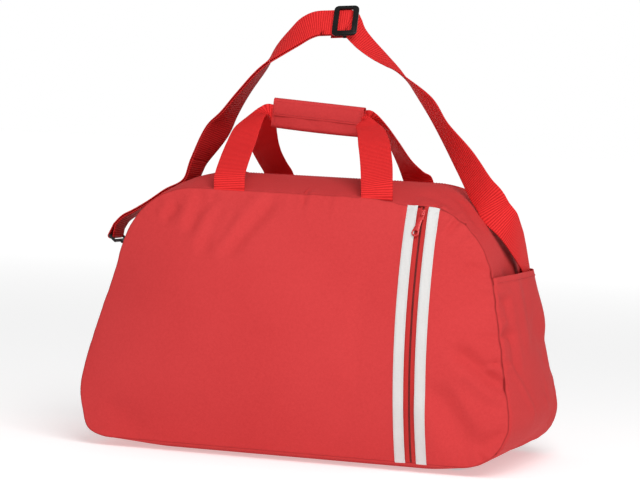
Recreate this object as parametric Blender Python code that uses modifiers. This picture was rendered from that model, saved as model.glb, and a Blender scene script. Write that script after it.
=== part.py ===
"""Soft sports holdall: D-shaped panels, zipped top and front pocket, webbing handles, shoulder strap.

Metres, +Z up. The origin lies on the floor under the middle of the bag, and the front faces -Y.
"""
import math

import bmesh
import bpy
from mathutils import Matrix, Vector

# Body of the bag
PANEL_WIDTH = 0.520
BODY_DEPTH = 0.280
SEAM_TOP = 0.316
SEAM_BOTTOM = 0.010
CORNER_R = 0.056
SHOULDER_R = 0.105
SIDE_LEAN = math.radians(10.0)
FABRIC = 0.002
GAP = 0.0003
TOP_CROWN = 0.018
END_CROWN = 0.002
BACK_BULGE = 0.030
ZIP_BULGE = 0.035

# Base board
BOARD_LENGTH = 0.390
BOARD_DEPTH = 0.186
BOARD_T = 0.0025
BOARD_CORNER = 0.020

# Slip pocket on the right end
HEM_DROP = 0.081
POCKET_T = 0.0015
POCKET_ROOM = 0.0165

# Zips
ZIP_TAPE = 0.0008
ZIP_TAPE_HALF = 0.015
COIL_HALF = 0.0022
COIL_T = 0.0014
ZIP_SLOT_HALF = 0.007
SLIDER_LENGTH = 0.013
SLIDER_PLATE = 0.0014
SKIRT_T = 0.0012
STAPLE_WIRE = 0.0010
STAPLE_OPENING = 0.0030
STAPLE_WIDTH = 0.0020
PULL_WIDTH = 0.009
PULL_LENGTH = 0.028
PULL_T = 0.0012

# Main zip in the top
FLAP_HALF = 0.100
FLAP_DEPTH = 0.070
SLIDER_PARK = 0.117

# Front pocket zip and its stripes
POCKET_ZIP_INSET = 0.113
POCKET_SLIDER_DROP = 0.012
STRIPE_WIDTH = 0.014
STRIPE_T = 0.0008
LINING_TOP_DROP = 0.014

# Webbing and handles
WEBBING_WIDTH = 0.038
WEBBING_T = 0.0016
HANDLE_HALF = 0.090
GRIP_WIDTH = 0.032
GRIP_SPREAD = 0.0035
WRAP_LENGTH = 0.115
WRAP_X = -0.0235
WRAP_RISE = 0.0905
WRAP_TILT = math.radians(3.5)
WRAP_T = 0.0018
WRAP_CLEARANCE = 0.0004
FLAP_SHARE = 0.62
WRAP_FLAP_T = 0.0012

# Rings, hooks and swivels at the two ends
RING_DROP = {"left": 0.104, "right": 0.140}
HARDWARE_LEAN = {"left": math.radians(50.0), "right": math.radians(-3.6)}
TAB_WIDTH = 0.021
TAB_T = 0.0014
TAB_LENGTH = 0.022
RING_WIRE = 0.0030
RING_HALF = 0.0145
RING_HEIGHT = 0.018
HOOK_WIRE = 0.0032
HOOK_PLAY = 0.0005
HOOK_TIP = 0.009
HOOK_REACH = 0.020
GATE_WIRE = 0.0022
GATE_LENGTH = 0.0065
SWIVEL_T = 0.003
SWIVEL_BAR = 0.003
SWIVEL_NECK = 0.0025
SWIVEL_SLOT = 0.0065

# Strap adjuster
ADJUSTER_LENGTH = 0.028
ADJUSTER_BAR = 0.0045
ADJUSTER_T = 0.0024
ADJUSTER_SIDE = 0.0035
ADJUSTER_X = 0.005
ADJUSTER_RISE = 0.2085
ADJUSTER_SLOPE = math.radians(4.0)
ADJUSTER_FACE = Vector((0.05, -0.80, 0.60))
STRAP_LAYERS = 0.0026
STRAIGHT_BEFORE = 0.034
STRAIGHT_AFTER = 0.018
RETURN_TAIL = 0.020
SEWN_TAIL = 0.013

# Hand-chosen route of the shoulder strap: each place is counted from the nearer anchor, and the
# second triple is the way that the webbing faces there. First from the left swivel
STRAP_FROM_LEFT = (
    ((0.014, 0.000, 0.017), (-0.80, 0.00, 0.60)),
    ((0.039, 0.005, 0.051), (-0.75, -0.10, 0.65)),
    ((0.064, 0.010, 0.070), (-0.60, -0.20, 0.77)),
    ((0.088, 0.010, 0.084), (-0.70, -0.40, 0.59)),
)
# up to the adjuster
STRAP_TO_ADJUSTER = (
    ((-0.177, 0.010, -0.1655), (-0.60, -0.60, 0.52)),
    ((-0.144, 0.010, -0.1115), (-0.52, -0.75, 0.41)),
    ((-0.106, 0.005, -0.0605), (-0.50, -0.70, 0.50)),
    ((-0.067, 0.000, -0.0245), (-0.42, -0.58, 0.70)),
)
# on from the adjuster
STRAP_FROM_ADJUSTER = (
    ((0.0240, 0.005, -0.0060), (0.20, -0.72, 0.66)),
    ((0.0300, 0.012, -0.0190), (0.45, -0.55, 0.70)),
    ((0.0460, 0.014, -0.0405), (0.58, -0.38, 0.72)),
    ((0.0760, 0.006, -0.0655), (0.62, -0.25, 0.74)),
    ((0.1110, -0.008, -0.0980), (0.55, -0.45, 0.70)),
    ((0.1430, -0.028, -0.1375), (0.32, -0.80, 0.50)),
    ((0.178, -0.055, -0.1735), (0.15, -0.93, 0.33)),
)
# and down to the right swivel
STRAP_TO_RIGHT = (
    ((-0.0385, -0.065, 0.092), (0.20, -0.93, 0.30)),
    ((-0.0160, -0.066, 0.066), (0.50, -0.80, 0.30)),
    ((-0.0045, -0.038, 0.041), (0.82, -0.50, 0.25)),
    ((0.0000, -0.010, 0.022), (0.97, -0.15, 0.12)),
)
STRAP_STEPS = 3

# Hand-chosen route of a front handle's leg: two places above its foot, three before its head,
# the latter for the right leg, with the way that the webbing faces there
LEG_FOOT_DRIFT = {"left": -0.008, "right": -0.013}
LEG_ABOVE_FOOT = (
    ((0.0042, 0.0174), (0.0, -0.95, 0.30)),
    ((0.0492, 0.0455), (0.0, -0.55, 0.83)),
)
LEG_BEFORE_HEAD = (
    ((0.0290, -0.0385, -0.0200), (0.0, -0.48, 0.88)),
    ((0.0315, -0.0185, -0.0090), (0.0, -0.60, 0.80)),
    ((0.0255, -0.0070, -0.0015), (0.0, -0.93, 0.35)),
)
LEG_STRAIGHT = 0.014

# Finishes: colour, roughness, metallic
FINISHES = {
    "polyester": ((0.64, 0.05, 0.06), 0.75, 0.0),
    "webbing": ((0.76, 0.03, 0.03), 0.70, 0.0),
    "ribbon": ((0.80, 0.79, 0.77), 0.65, 0.0),
    "zip_tape": ((0.50, 0.02, 0.02), 0.75, 0.0),
    "zip_coil": ((0.10, 0.01, 0.01), 0.45, 0.0),
    "painted_metal": ((0.62, 0.02, 0.02), 0.40, 0.3),
    "black_plastic": ((0.02, 0.02, 0.02), 0.40, 0.0),
    "black_metal": ((0.03, 0.03, 0.03), 0.35, 0.9),
    "lining": ((0.35, 0.03, 0.03), 0.80, 0.0),
    "board": ((0.05, 0.05, 0.05), 0.60, 0.0),
}

# Values worked out from the driving dimensions
CORNER_X = PANEL_WIDTH / 2 - CORNER_R
CORNER_Z = SEAM_BOTTOM + CORNER_R
SIDE_FOOT_X = CORNER_X + CORNER_R * math.cos(SIDE_LEAN)
SIDE_FOOT_Z = CORNER_Z + CORNER_R * math.sin(SIDE_LEAN)
SHOULDER_Z = SEAM_TOP - SHOULDER_R
SIDE_HEAD_Z = SHOULDER_Z + SHOULDER_R * math.sin(SIDE_LEAN)
SIDE_LENGTH = (SIDE_HEAD_Z - SIDE_FOOT_Z) / math.cos(SIDE_LEAN)
TOP_HALF = SIDE_FOOT_X - SIDE_LENGTH * math.sin(SIDE_LEAN) - SHOULDER_R * math.cos(SIDE_LEAN)

# Lengths along the seam from the bottom middle to the end of each stretch of its outline
S_BOTTOM = CORNER_X
S_CORNER = S_BOTTOM + CORNER_R * (math.pi / 2 + SIDE_LEAN)
S_SIDE = S_CORNER + SIDE_LENGTH
S_SHOULDER = S_SIDE + SHOULDER_R * (math.pi / 2 - SIDE_LEAN)
S_TOP = S_SHOULDER + TOP_HALF
S_CORNER_MID = (S_BOTTOM + S_CORNER) / 2
S_SHOULDER_MID = (S_SIDE + S_SHOULDER) / 2

HEM_Z = SEAM_TOP - HEM_DROP
POCKET_ZIP_X = PANEL_WIDTH / 2 - POCKET_ZIP_INSET
POCKET_SLIDER_Z = SEAM_TOP - POCKET_SLIDER_DROP
WRAP_CENTRE = Vector((WRAP_X, 0.0, SEAM_TOP + WRAP_RISE))
ADJUSTER_POINT = Vector((ADJUSTER_X, 0.0, SEAM_TOP + ADJUSTER_RISE))

GUSSET_HALF = BODY_DEPTH / 2 - FABRIC - GAP
ACROSS = (-1.0, -0.93, -0.82, -0.70, -0.40, 0.0, 0.40, 0.70, 0.82, 0.93, 1.0)
ROWS = 10
TAPE_LIFT = -(FABRIC + 2 * GAP)
COIL_LIFT = TAPE_LIFT + GAP + COIL_T
LINING_LIFT = TAPE_LIFT - ZIP_TAPE - 2 * GAP
SLIDER_LIFT = COIL_LIFT + GAP
STAPLE_AXIS = SLIDER_LIFT + SLIDER_PLATE + STAPLE_OPENING / 2 - STAPLE_WIRE / 2
RING_R = RING_WIRE / 2
TAB_LOOP = RING_R + GAP + TAB_T / 2
HOOK_BEND = RING_R + HOOK_PLAY + HOOK_WIRE / 2
STRAP_LOOP = math.hypot(SWIVEL_BAR, SWIVEL_T) / 2 + GAP + WEBBING_T / 2

PARTS = bpy.data.collections.new("sports_holdall")
CUTTERS = bpy.data.collections.new("cutters")


def start_clean():
    for obj in list(bpy.data.objects):
        bpy.data.objects.remove(obj, do_unlink=True)
    bpy.context.scene.collection.children.link(PARTS)
    bpy.context.scene.collection.children.link(CUTTERS)


def finish(obj, kind):
    """Give the piece its own plain material of a listed finish."""
    colour, roughness, metallic = FINISHES[kind]
    material = bpy.data.materials.new(obj.name + "_" + kind)
    material.use_nodes = True
    shader = material.node_tree.nodes["Principled BSDF"]
    shader.inputs["Base Color"].default_value = (*colour, 1.0)
    shader.inputs["Roughness"].default_value = roughness
    shader.inputs["Metallic"].default_value = metallic
    obj.data.materials.append(material)


def place(name, data, kind, matrix=Matrix()):
    obj = bpy.data.objects.new(name, data)
    obj.matrix_world = matrix
    PARTS.objects.link(obj)
    finish(obj, kind)
    return obj


def sheet(name, kind, rows, thickness, outward, offset=-1.0, origin=Vector()):
    """A grid of points made a wall, its outer face through the points and facing the outward rule."""
    bm = bmesh.new()
    bmesh.ops.create_grid(bm, x_segments=len(rows[0]) - 1, y_segments=len(rows) - 1, size=1.0)
    for vert, point in zip(bm.verts, [point for row in rows for point in row]):
        vert.co = point - origin
    bm.normal_update()
    facing = sum(face.normal.dot(outward(face.calc_center_median() + origin)) for face in bm.faces)
    if facing < 0:
        bmesh.ops.reverse_faces(bm, faces=bm.faces)
    mesh = bpy.data.meshes.new(name)
    bm.to_mesh(mesh)
    bm.free()
    mesh.shade_smooth()
    obj = place(name, mesh, kind, Matrix.Translation(origin))
    wall = obj.modifiers.new("wall", "SOLIDIFY")
    wall.thickness = thickness
    wall.offset = offset
    wall.use_even_offset = True
    return obj


def tube(name, kind, points, radius, cyclic=False, origin=Vector()):
    """A round wire along straight steps between the points."""
    curve = bpy.data.curves.new(name, "CURVE")
    curve.dimensions = "3D"
    curve.bevel_depth = radius
    curve.bevel_resolution = 2
    curve.use_fill_caps = not cyclic
    spline = curve.splines.new("POLY")
    spline.points.add(len(points) - 1)
    for target, point in zip(spline.points, points):
        target.co = (*(point - origin), 1.0)
    spline.use_cyclic_u = cyclic
    return place(name, curve, kind, Matrix.Translation(origin))


def plate(name, kind, outlines, thickness, matrix):
    """A flat plate: the first outline less the holes that follow, in the matrix's XY plane."""
    curve = bpy.data.curves.new(name, "CURVE")
    curve.dimensions = "2D"
    curve.fill_mode = "BOTH"
    curve.extrude = thickness / 2
    for outline in outlines:
        spline = curve.splines.new("POLY")
        spline.points.add(len(outline) - 1)
        for target, (x, y) in zip(spline.points, outline):
            target.co = (x, y, 0.0, 1.0)
        spline.use_cyclic_u = True
    return place(name, curve, kind, matrix)


def box_mesh(name, low, high):
    bm = bmesh.new()
    size = Vector(high) - Vector(low)
    middle = (Vector(high) + Vector(low)) / 2
    bmesh.ops.create_cube(bm, size=1.0, matrix=Matrix.Translation(middle) @ Matrix.Diagonal((*size, 1.0)))
    mesh = bpy.data.meshes.new(name)
    bm.to_mesh(mesh)
    bm.free()
    return mesh


def joined_boxes(name, kind, boxes, matrix):
    """Boxes given by two corners in the piece's own frame, joined into one body."""
    obj = place(name, box_mesh(name, *boxes[0]), kind, matrix)
    for index, corners in enumerate(boxes[1:], start=1):
        label = f"{name}_box_{index}"
        cutter = bpy.data.objects.new(label, box_mesh(label, *corners))
        cutter.matrix_world = matrix
        cutter.hide_render = True
        cutter.display_type = "WIRE"
        CUTTERS.objects.link(cutter)
        union = obj.modifiers.new(label, "BOOLEAN")
        union.operation = "UNION"
        union.object = cutter
    return obj


def frame_matrix(origin, x_axis, y_axis, z_axis):
    matrix = Matrix((x_axis, y_axis, z_axis)).transposed().to_4x4()
    matrix.translation = origin
    return matrix


def rounded_box(half_x, half_y, radius, steps=4):
    points = []
    for quarter, (sx, sy) in enumerate(((1, 1), (-1, 1), (-1, -1), (1, -1))):
        for step in range(steps + 1):
            angle = (quarter + step / steps) * math.pi / 2
            points.append((sx * (half_x - radius) + radius * math.cos(angle),
                           sy * (half_y - radius) + radius * math.sin(angle)))
    return points


def spread(start, end, count):
    return [start + (end - start) * step / count for step in range(count + 1)]


def ease(t):
    t = min(max(t, 0.0), 1.0)
    return t * t * (3 - 2 * t)


# The D outline of the front and back seams


def seam(s):
    """Place and outward normal in X and Z, s metres along the seam from the bottom middle, signed."""
    side = math.copysign(1.0, s)
    s = abs(s)
    if s <= S_BOTTOM:
        x, z, nx, nz = s, SEAM_BOTTOM, 0.0, -1.0
    elif s <= S_CORNER:
        angle = -math.pi / 2 + (s - S_BOTTOM) / CORNER_R
        nx, nz = math.cos(angle), math.sin(angle)
        x, z = CORNER_X + CORNER_R * nx, CORNER_Z + CORNER_R * nz
    elif s <= S_SIDE:
        nx, nz = math.cos(SIDE_LEAN), math.sin(SIDE_LEAN)
        x, z = SIDE_FOOT_X - (s - S_CORNER) * nz, SIDE_FOOT_Z + (s - S_CORNER) * nx
    elif s <= S_SHOULDER:
        angle = SIDE_LEAN + (s - S_SIDE) / SHOULDER_R
        nx, nz = math.cos(angle), math.sin(angle)
        x, z = TOP_HALF + SHOULDER_R * nx, SHOULDER_Z + SHOULDER_R * nz
    else:
        x, z, nx, nz = TOP_HALF - (s - S_SHOULDER), SEAM_TOP, 0.0, 1.0
    return side * x, z, side * nx, nz


def seam_over(x):
    """Seam length at which the top or shoulder stands over x."""
    if x <= TOP_HALF:
        return S_TOP - x
    return S_SIDE + (math.acos((x - TOP_HALF) / SHOULDER_R) - SIDE_LEAN) * SHOULDER_R


def seam_at_height(z):
    """Seam length at which the side or shoulder reaches a height."""
    if z <= SIDE_HEAD_Z:
        return S_CORNER + (z - SIDE_FOOT_Z) / math.cos(SIDE_LEAN)
    return S_SIDE + (math.asin((z - SHOULDER_Z) / SHOULDER_R) - SIDE_LEAN) * SHOULDER_R


def half_width(z):
    if z <= SIDE_FOOT_Z:
        drop = min(max((z - CORNER_Z) / CORNER_R, -1.0), 1.0)
        return CORNER_X + CORNER_R * math.sqrt(1 - drop * drop)
    if z <= SIDE_HEAD_Z:
        return SIDE_FOOT_X - (z - SIDE_FOOT_Z) * math.tan(SIDE_LEAN)
    rise = min((z - SHOULDER_Z) / SHOULDER_R, 1.0)
    return TOP_HALF + SHOULDER_R * math.sqrt(1 - rise * rise)


def roof(x):
    return seam(seam_over(x))[1]


# The gusset between the seams


def crown(s, v):
    """How far the gusset stands out from the straight line between the two seams."""
    s = abs(s)
    flat = min(1.0, 1.15 * (1 - abs(v) ** 6))
    round_ = 1 - v * v
    low = SEAM_BOTTOM * flat
    end = END_CROWN * round_
    if s <= S_SIDE:
        blend = ease((s - S_BOTTOM) / (S_CORNER - S_BOTTOM))
        return low + (end - low) * blend
    blend = ease((s - S_SIDE) / (S_SHOULDER - S_SIDE))
    return end + (TOP_CROWN * round_ - end) * blend


def gusset(s, v, lift=0.0):
    x, z, nx, nz = seam(s)
    out = crown(s, v) + lift
    return Vector((x + nx * out, v * GUSSET_HALF, z + nz * out))


def from_middle(point):
    return point - Vector((0.0, 0.0, SEAM_TOP / 2))


END_STATIONS = (spread(S_BOTTOM + GAP, S_CORNER, 7) + spread(S_CORNER, S_SIDE, 4)[1:]
                + spread(S_SIDE, S_SHOULDER_MID - 3 * GAP, 3)[1:])
SHOULDER_STATIONS = spread(S_SHOULDER_MID, S_SHOULDER, 4) + [seam_over(FLAP_HALF + GAP)]
TAIL_STATIONS = [S_SHOULDER_MID + 2 * FABRIC] + SHOULDER_STATIONS[1:]
FRONT_HALF = [v for v in ACROSS if v < 0] + [-edge / GUSSET_HALF for edge in (ZIP_TAPE_HALF, ZIP_SLOT_HALF)]
FOLD = FLAP_DEPTH / GUSSET_HALF
STRIP_ACROSS = [v for v in ACROSS if v < -FOLD] + [-FOLD - GAP / GUSSET_HALF]
FLAP_ACROSS = [-FOLD] + [v for v in FRONT_HALF if v > -FOLD]
TAPE_ACROSS = [share * ZIP_TAPE_HALF / GUSSET_HALF for share in (-1.0, 0.0, 1.0)]
COIL_ACROSS = [share * COIL_HALF / GUSSET_HALF for share in (-1.0, 0.0, 1.0)]


def bottom_and_ends():
    lengths = spread(-S_BOTTOM, S_BOTTOM, 2)
    sheet("bottom_panel", "polyester", [[gusset(s, v) for v in ACROSS] for s in lengths], FABRIC, from_middle)
    level = Matrix.Translation((0.0, 0.0, FABRIC + GAP + BOARD_T / 2))
    outline = rounded_box(BOARD_LENGTH / 2, BOARD_DEPTH / 2, BOARD_CORNER)
    plate("base_board", "board", [outline], BOARD_T, level)
    for name, side in (("left_end_panel", -1), ("right_end_panel", 1)):
        rows = [[gusset(side * s, v) for v in ACROSS] for s in END_STATIONS]
        sheet(name, "polyester", rows, FABRIC, from_middle)


def end_pocket():
    """Slip pocket on the right end, sewn at its sides and foot and open at the hem."""
    hem = seam_at_height(HEM_Z)
    foot = END_STATIONS[3]
    stations = [s for s in END_STATIONS if foot <= s < hem - FABRIC] + [hem]
    rows = []
    for s in stations:
        room = POCKET_ROOM * ease((s - foot) / (S_CORNER - foot))
        rows.append([gusset(s, v, GAP + POCKET_T + room * (1 - v * v)) for v in ACROSS])
    sheet("right_end_pocket", "polyester", rows, POCKET_T, from_middle)


def top_pieces():
    """Shoulders with the closed tails of the main zip, and the two flaps that fold in as it opens."""
    for side_name, side in (("left", -1), ("right", 1)):
        for face_name, face in (("front", 1), ("back", -1)):
            rows = [[gusset(side * s, face * v) for v in FRONT_HALF] for s in SHOULDER_STATIONS]
            sheet(f"{side_name}_shoulder_{face_name}", "polyester", rows, FABRIC, from_middle)
        tape = [[gusset(side * s, v, TAPE_LIFT) for v in TAPE_ACROSS] for s in TAIL_STATIONS]
        sheet(f"main_zip_tail_{side_name}", "zip_tape", tape, ZIP_TAPE, from_middle)
        coil = [[gusset(side * s, v, COIL_LIFT) for v in COIL_ACROSS] for s in TAIL_STATIONS]
        sheet(f"main_zip_tail_coil_{side_name}", "zip_coil", coil, COIL_T, from_middle)
    for name, face in (("front", 1), ("back", -1)):
        hinge = top_point(0.0, -face * FOLD, -FABRIC)

        def strip(edges, lift):
            return [[top_point(x, face * v, lift) for v in edges] for x in (-FLAP_HALF, FLAP_HALF)]

        tape_edges = [-ZIP_TAPE_HALF / GUSSET_HALF, -GAP / GUSSET_HALF]
        coil_edges = [-COIL_HALF / GUSSET_HALF, -GAP / GUSSET_HALF]
        sheet(f"top_strip_{name}", "polyester", strip(STRIP_ACROSS, 0.0), FABRIC, from_middle)
        sheet(f"top_flap_{name}", "polyester", strip(FLAP_ACROSS, 0.0), FABRIC, from_middle, origin=hinge)
        sheet(f"main_zip_tape_{name}", "zip_tape", strip(tape_edges, TAPE_LIFT), ZIP_TAPE, from_middle,
              origin=hinge)
        sheet(f"main_zip_coil_{name}", "zip_coil", strip(coil_edges, COIL_LIFT), COIL_T, from_middle,
              origin=hinge)


def top_point(x, v, lift=0.0):
    return gusset(math.copysign(seam_over(abs(x)), x), v, lift)


# The pillowed front and back


ZIP_TOP = roof(POCKET_ZIP_X)
ZIP_MIDDLE = (ZIP_TOP + SEAM_BOTTOM) / 2
ZIP_HALF = (ZIP_TOP - SEAM_BOTTOM) / 2
ZIP_ARC_R = (ZIP_HALF ** 2 + ZIP_BULGE ** 2) / (2 * ZIP_BULGE)
ZIP_ARC_Y = -BODY_DEPTH / 2 - ZIP_BULGE + ZIP_ARC_R


def zip_arc(z):
    """Bulge along the pocket zip, a true arc so that its slider can run round it."""
    rise = ZIP_ARC_R ** 2 - (z - ZIP_MIDDLE) ** 2
    return max(0.0, math.sqrt(max(rise, 0.0)) - (ZIP_ARC_R - ZIP_BULGE))


def front_bulge(x, z):
    reach = half_width(z)
    if x >= POCKET_ZIP_X:
        share = min((x - POCKET_ZIP_X) / max(reach - POCKET_ZIP_X, FABRIC), 1.0)
        return zip_arc(z) * (1 - share ** 2)
    share = min((POCKET_ZIP_X - x) / (POCKET_ZIP_X + reach), 1.0)
    return zip_arc(z) * (1 + 3 * share ** 2 - 4 * share ** 3)


def back_bulge(x, z):
    across = min(abs(x) / half_width(z), 1.0)
    up = min(abs(z - (SEAM_TOP + SEAM_BOTTOM) / 2) / ((SEAM_TOP - SEAM_BOTTOM) / 2), 1.0)
    return BACK_BULGE * (1 - across ** 2) * (1 - up ** 2)


def front_normal(x, z):
    step = 0.001
    slope_x = (front_bulge(x + step, z) - front_bulge(x - step, z)) / (2 * step)
    slope_z = (front_bulge(x, z + step) - front_bulge(x, z - step)) / (2 * step)
    return -Vector((slope_x, 1.0, slope_z)).normalized()


def front_point(x, z, lift=0.0):
    return Vector((x, -BODY_DEPTH / 2 - front_bulge(x, z), z)) + front_normal(x, z) * lift


def back_point(x, z):
    return Vector((x, BODY_DEPTH / 2 + back_bulge(x, z), z))


def forwards(point):
    return Vector((0.0, -1.0, 0.0))


def backwards(point):
    return Vector((0.0, 1.0, 0.0))


def seam_path(start, end, inset=0.0):
    def path(t):
        x, z, nx, nz = seam(start + (end - start) * t)
        return Vector((x - nx * inset, z - nz * inset))
    return path


def top_path(x_start, x_end):
    """The seam over the top between two places, measured from the top middle."""
    start, end = (math.copysign(S_TOP - seam_over(abs(x)), x) for x in (x_start, x_end))

    def path(t):
        along = start + (end - start) * t
        x, z, _, _ = seam(math.copysign(S_TOP - abs(along), along))
        return Vector((x, z))
    return path


def line(start, end):
    return lambda t: Vector(start) + (Vector(end) - Vector(start)) * t


def patch(left, right, bottom, top, columns):
    """Rows of points filled in between four edge paths."""
    rows = []
    for v in spread(0.0, 1.0, ROWS):
        row = []
        for u in spread(0.0, 1.0, columns):
            corners = (bottom(0) * ((1 - u) * (1 - v)) + bottom(1) * (u * (1 - v))
                       + top(0) * ((1 - u) * v) + top(1) * (u * v))
            row.append(bottom(u) * (1 - v) + top(u) * v + left(v) * (1 - u) + right(v) * u - corners)
        rows.append(row)
    return rows


def upright(x, inset=0.0):
    """A column of places over x, from the bottom seam to the top seam, its ends drawn in."""
    places = [Vector((x, z)) for z in spread(SEAM_BOTTOM, roof(x), ROWS)]
    places[0].y += inset
    places[-1].y -= inset
    return places


def front_rows(columns, lift=0.0):
    return [[front_point(*place_, lift) for place_ in row] for row in zip(*columns)]


def front_panels():
    shoulder_x = seam(S_SHOULDER_MID)[0]
    lip_left = POCKET_ZIP_X - ZIP_SLOT_HALF
    lip_right = POCKET_ZIP_X + ZIP_SLOT_HALF
    tape_left = POCKET_ZIP_X - ZIP_TAPE_HALF
    tape_right = POCKET_ZIP_X + ZIP_TAPE_HALF
    stripe_left = lip_left - STRIPE_WIDTH
    stripe_right = lip_right + STRIPE_WIDTH
    left = patch(seam_path(-S_CORNER_MID, -S_SHOULDER_MID),
                 line((stripe_left, SEAM_BOTTOM), (stripe_left, roof(stripe_left))),
                 seam_path(-S_CORNER_MID, stripe_left), top_path(-shoulder_x, stripe_left), 9)
    left = [row + list(ends) for row, *ends in zip(left, upright(tape_left), upright(lip_left))]
    right = patch(line((stripe_right, SEAM_BOTTOM), (stripe_right, roof(stripe_right))),
                  seam_path(S_CORNER_MID, S_SHOULDER_MID),
                  seam_path(stripe_right, S_CORNER_MID), top_path(stripe_right, shoulder_x), 4)
    right = [list(ends) + row for row, *ends in zip(right, upright(lip_right), upright(tape_right))]
    for name, rows in (("front_panel_left", left), ("front_panel_right", right)):
        points = [[front_point(*place_) for place_ in row] for row in rows]
        sheet(name, "polyester", points, FABRIC, forwards)
    for name, edges in (("stripe_left", (stripe_left + GAP, lip_left)),
                        ("stripe_right", (lip_right, stripe_right - GAP))):
        rows = front_rows([upright(x) for x in edges], GAP + STRIPE_T)
        sheet(name, "ribbon", rows, STRIPE_T, forwards)
    inset = FABRIC + 4 * GAP
    for name, edges in (("pocket_zip_tape_left", (tape_left, lip_left, POCKET_ZIP_X - GAP)),
                        ("pocket_zip_tape_right", (POCKET_ZIP_X + GAP, lip_right, tape_right))):
        rows = front_rows([upright(x, inset) for x in edges], TAPE_LIFT)
        sheet(name, "zip_tape", rows, ZIP_TAPE, forwards)
    coil = front_rows([upright(POCKET_ZIP_X + side * COIL_HALF, inset) for side in (-1, 1)], COIL_LIFT)
    sheet("pocket_zip_coil", "zip_coil", coil, COIL_T, forwards)


def lining_and_back():
    inset = FABRIC + 2 * GAP
    height = seam_at_height(SEAM_TOP - LINING_TOP_DROP)
    left = seam_path(-S_CORNER_MID, -height, inset)
    right = seam_path(S_CORNER_MID, height, inset)
    rows = patch(left, right, seam_path(-S_CORNER_MID, S_CORNER_MID, inset), line(left(1), right(1)), 10)
    points = [[front_point(*place_, LINING_LIFT) for place_ in row] for row in rows]
    sheet("pocket_lining", "lining", points, FABRIC / 2, forwards)
    shoulder_x = seam(S_SHOULDER_MID)[0]
    rows = patch(seam_path(-S_CORNER_MID, -S_SHOULDER_MID), seam_path(S_CORNER_MID, S_SHOULDER_MID),
                 seam_path(-S_CORNER_MID, S_CORNER_MID), top_path(-shoulder_x, shoulder_x), 10)
    sheet("back_panel", "polyester", [[back_point(*place_) for place_ in row] for row in rows], FABRIC,
          backwards)


# Zip sliders and pulls


def slider_and_pull(label, matrix, pull_turn):
    """Slider over the coil with a staple, and the pull that turns in the staple.

    In the slider's own frame X runs along the zip towards the pull, and Z stands out from the fabric,
    measured from the fabric's outer face.
    """
    half = SLIDER_LENGTH / 2
    wing = COIL_HALF + GAP + SKIRT_T
    top = SLIDER_LIFT + SLIDER_PLATE
    bar_low = STAPLE_AXIS + STAPLE_OPENING / 2 - STAPLE_WIRE / 2
    bar_high = bar_low + STAPLE_WIRE
    reach = STAPLE_OPENING / 2 + STAPLE_WIRE
    boxes = [((-half, -wing, SLIDER_LIFT), (half, wing, top))]
    for side in (-1, 1):
        y = sorted((side * wing, side * (COIL_HALF + GAP)))
        boxes.append(((-half, y[0], TAPE_LIFT + GAP), (half, y[1], top - SLIDER_PLATE / 2)))
        x = sorted((side * reach, side * STAPLE_OPENING / 2))
        boxes.append(((x[0], -STAPLE_WIDTH / 2, top - SLIDER_PLATE / 2),
                      (x[1], STAPLE_WIDTH / 2, bar_high - STAPLE_WIRE / 3)))
    boxes.append(((-reach, -STAPLE_WIDTH / 2, bar_low), (reach, STAPLE_WIDTH / 2, bar_high)))
    joined_boxes(label + "_slider", "painted_metal", boxes, matrix)
    near = -PULL_T / 2
    far = PULL_LENGTH
    wide = PULL_WIDTH / 2
    outline = [(near, -wide * 0.75), (near, wide * 0.75), (far * 0.35, wide * 0.62), (far * 0.7, wide),
               (far - wide * 0.4, wide), (far, wide * 0.5), (far, -wide * 0.5), (far - wide * 0.4, -wide),
               (far * 0.7, -wide), (far * 0.35, -wide * 0.62)]
    eye_far = near + PULL_T + STAPLE_OPENING + STAPLE_WIRE
    eye = [(PULL_T / 2, -STAPLE_WIDTH), (PULL_T / 2, STAPLE_WIDTH), (eye_far, STAPLE_WIDTH),
           (eye_far, -STAPLE_WIDTH)]
    ring_hole = [(far - wide + wide * 0.45 * math.cos(a), wide * 0.45 * math.sin(a))
                 for a in spread(0.0, math.tau, 10)[:-1]]
    axis = Matrix.Translation((0.0, 0.0, STAPLE_AXIS)) @ Matrix.Rotation(pull_turn, 4, "Z")
    plate(label + "_pull", "painted_metal", [outline, eye, ring_hole], PULL_T, matrix @ axis)


def zip_sliders():
    main = frame_matrix(Vector((-SLIDER_PARK, 0.0, SEAM_TOP + TOP_CROWN)),
                        Vector((-1, 0, 0)), Vector((0, -1, 0)), Vector((0, 0, 1)))
    slider_and_pull("main_zip", main, 0.0)
    normal = front_normal(POCKET_ZIP_X, POCKET_SLIDER_Z)
    normal.x = 0.0
    normal.normalize()
    sideways = Vector((1, 0, 0))
    pocket = frame_matrix(front_point(POCKET_ZIP_X, POCKET_SLIDER_Z), sideways.cross(normal), sideways, normal)
    slider_and_pull("pocket_zip", pocket, math.radians(-12.0))


# Webbing


def smooth_route(points, steps):
    """Points along a smooth curve through hand-chosen places, with steps to each stretch."""
    places = [points[0] * 2 - points[1], *points, points[-1] * 2 - points[-2]]
    route = []
    for before, start, end, after in zip(places, places[1:], places[2:], places[3:]):
        for t in spread(0.0, 1.0, steps)[:-1]:
            route.append(0.5 * (2 * start + (end - before) * t
                                + (2 * before - 5 * start + 4 * end - after) * t ** 2
                                + (3 * start - before - 3 * end + after) * t ** 3))
    return route + [points[-1]]


def across_route(route, facings):
    """Unit widths of a band that follows the route and looks the way of each facing."""
    widths = []
    for index, facing in enumerate(facings):
        ahead = route[min(index + 1, len(route) - 1)] - route[max(index - 1, 0)]
        widths.append(ahead.cross(facing).normalized())
    return widths


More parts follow.
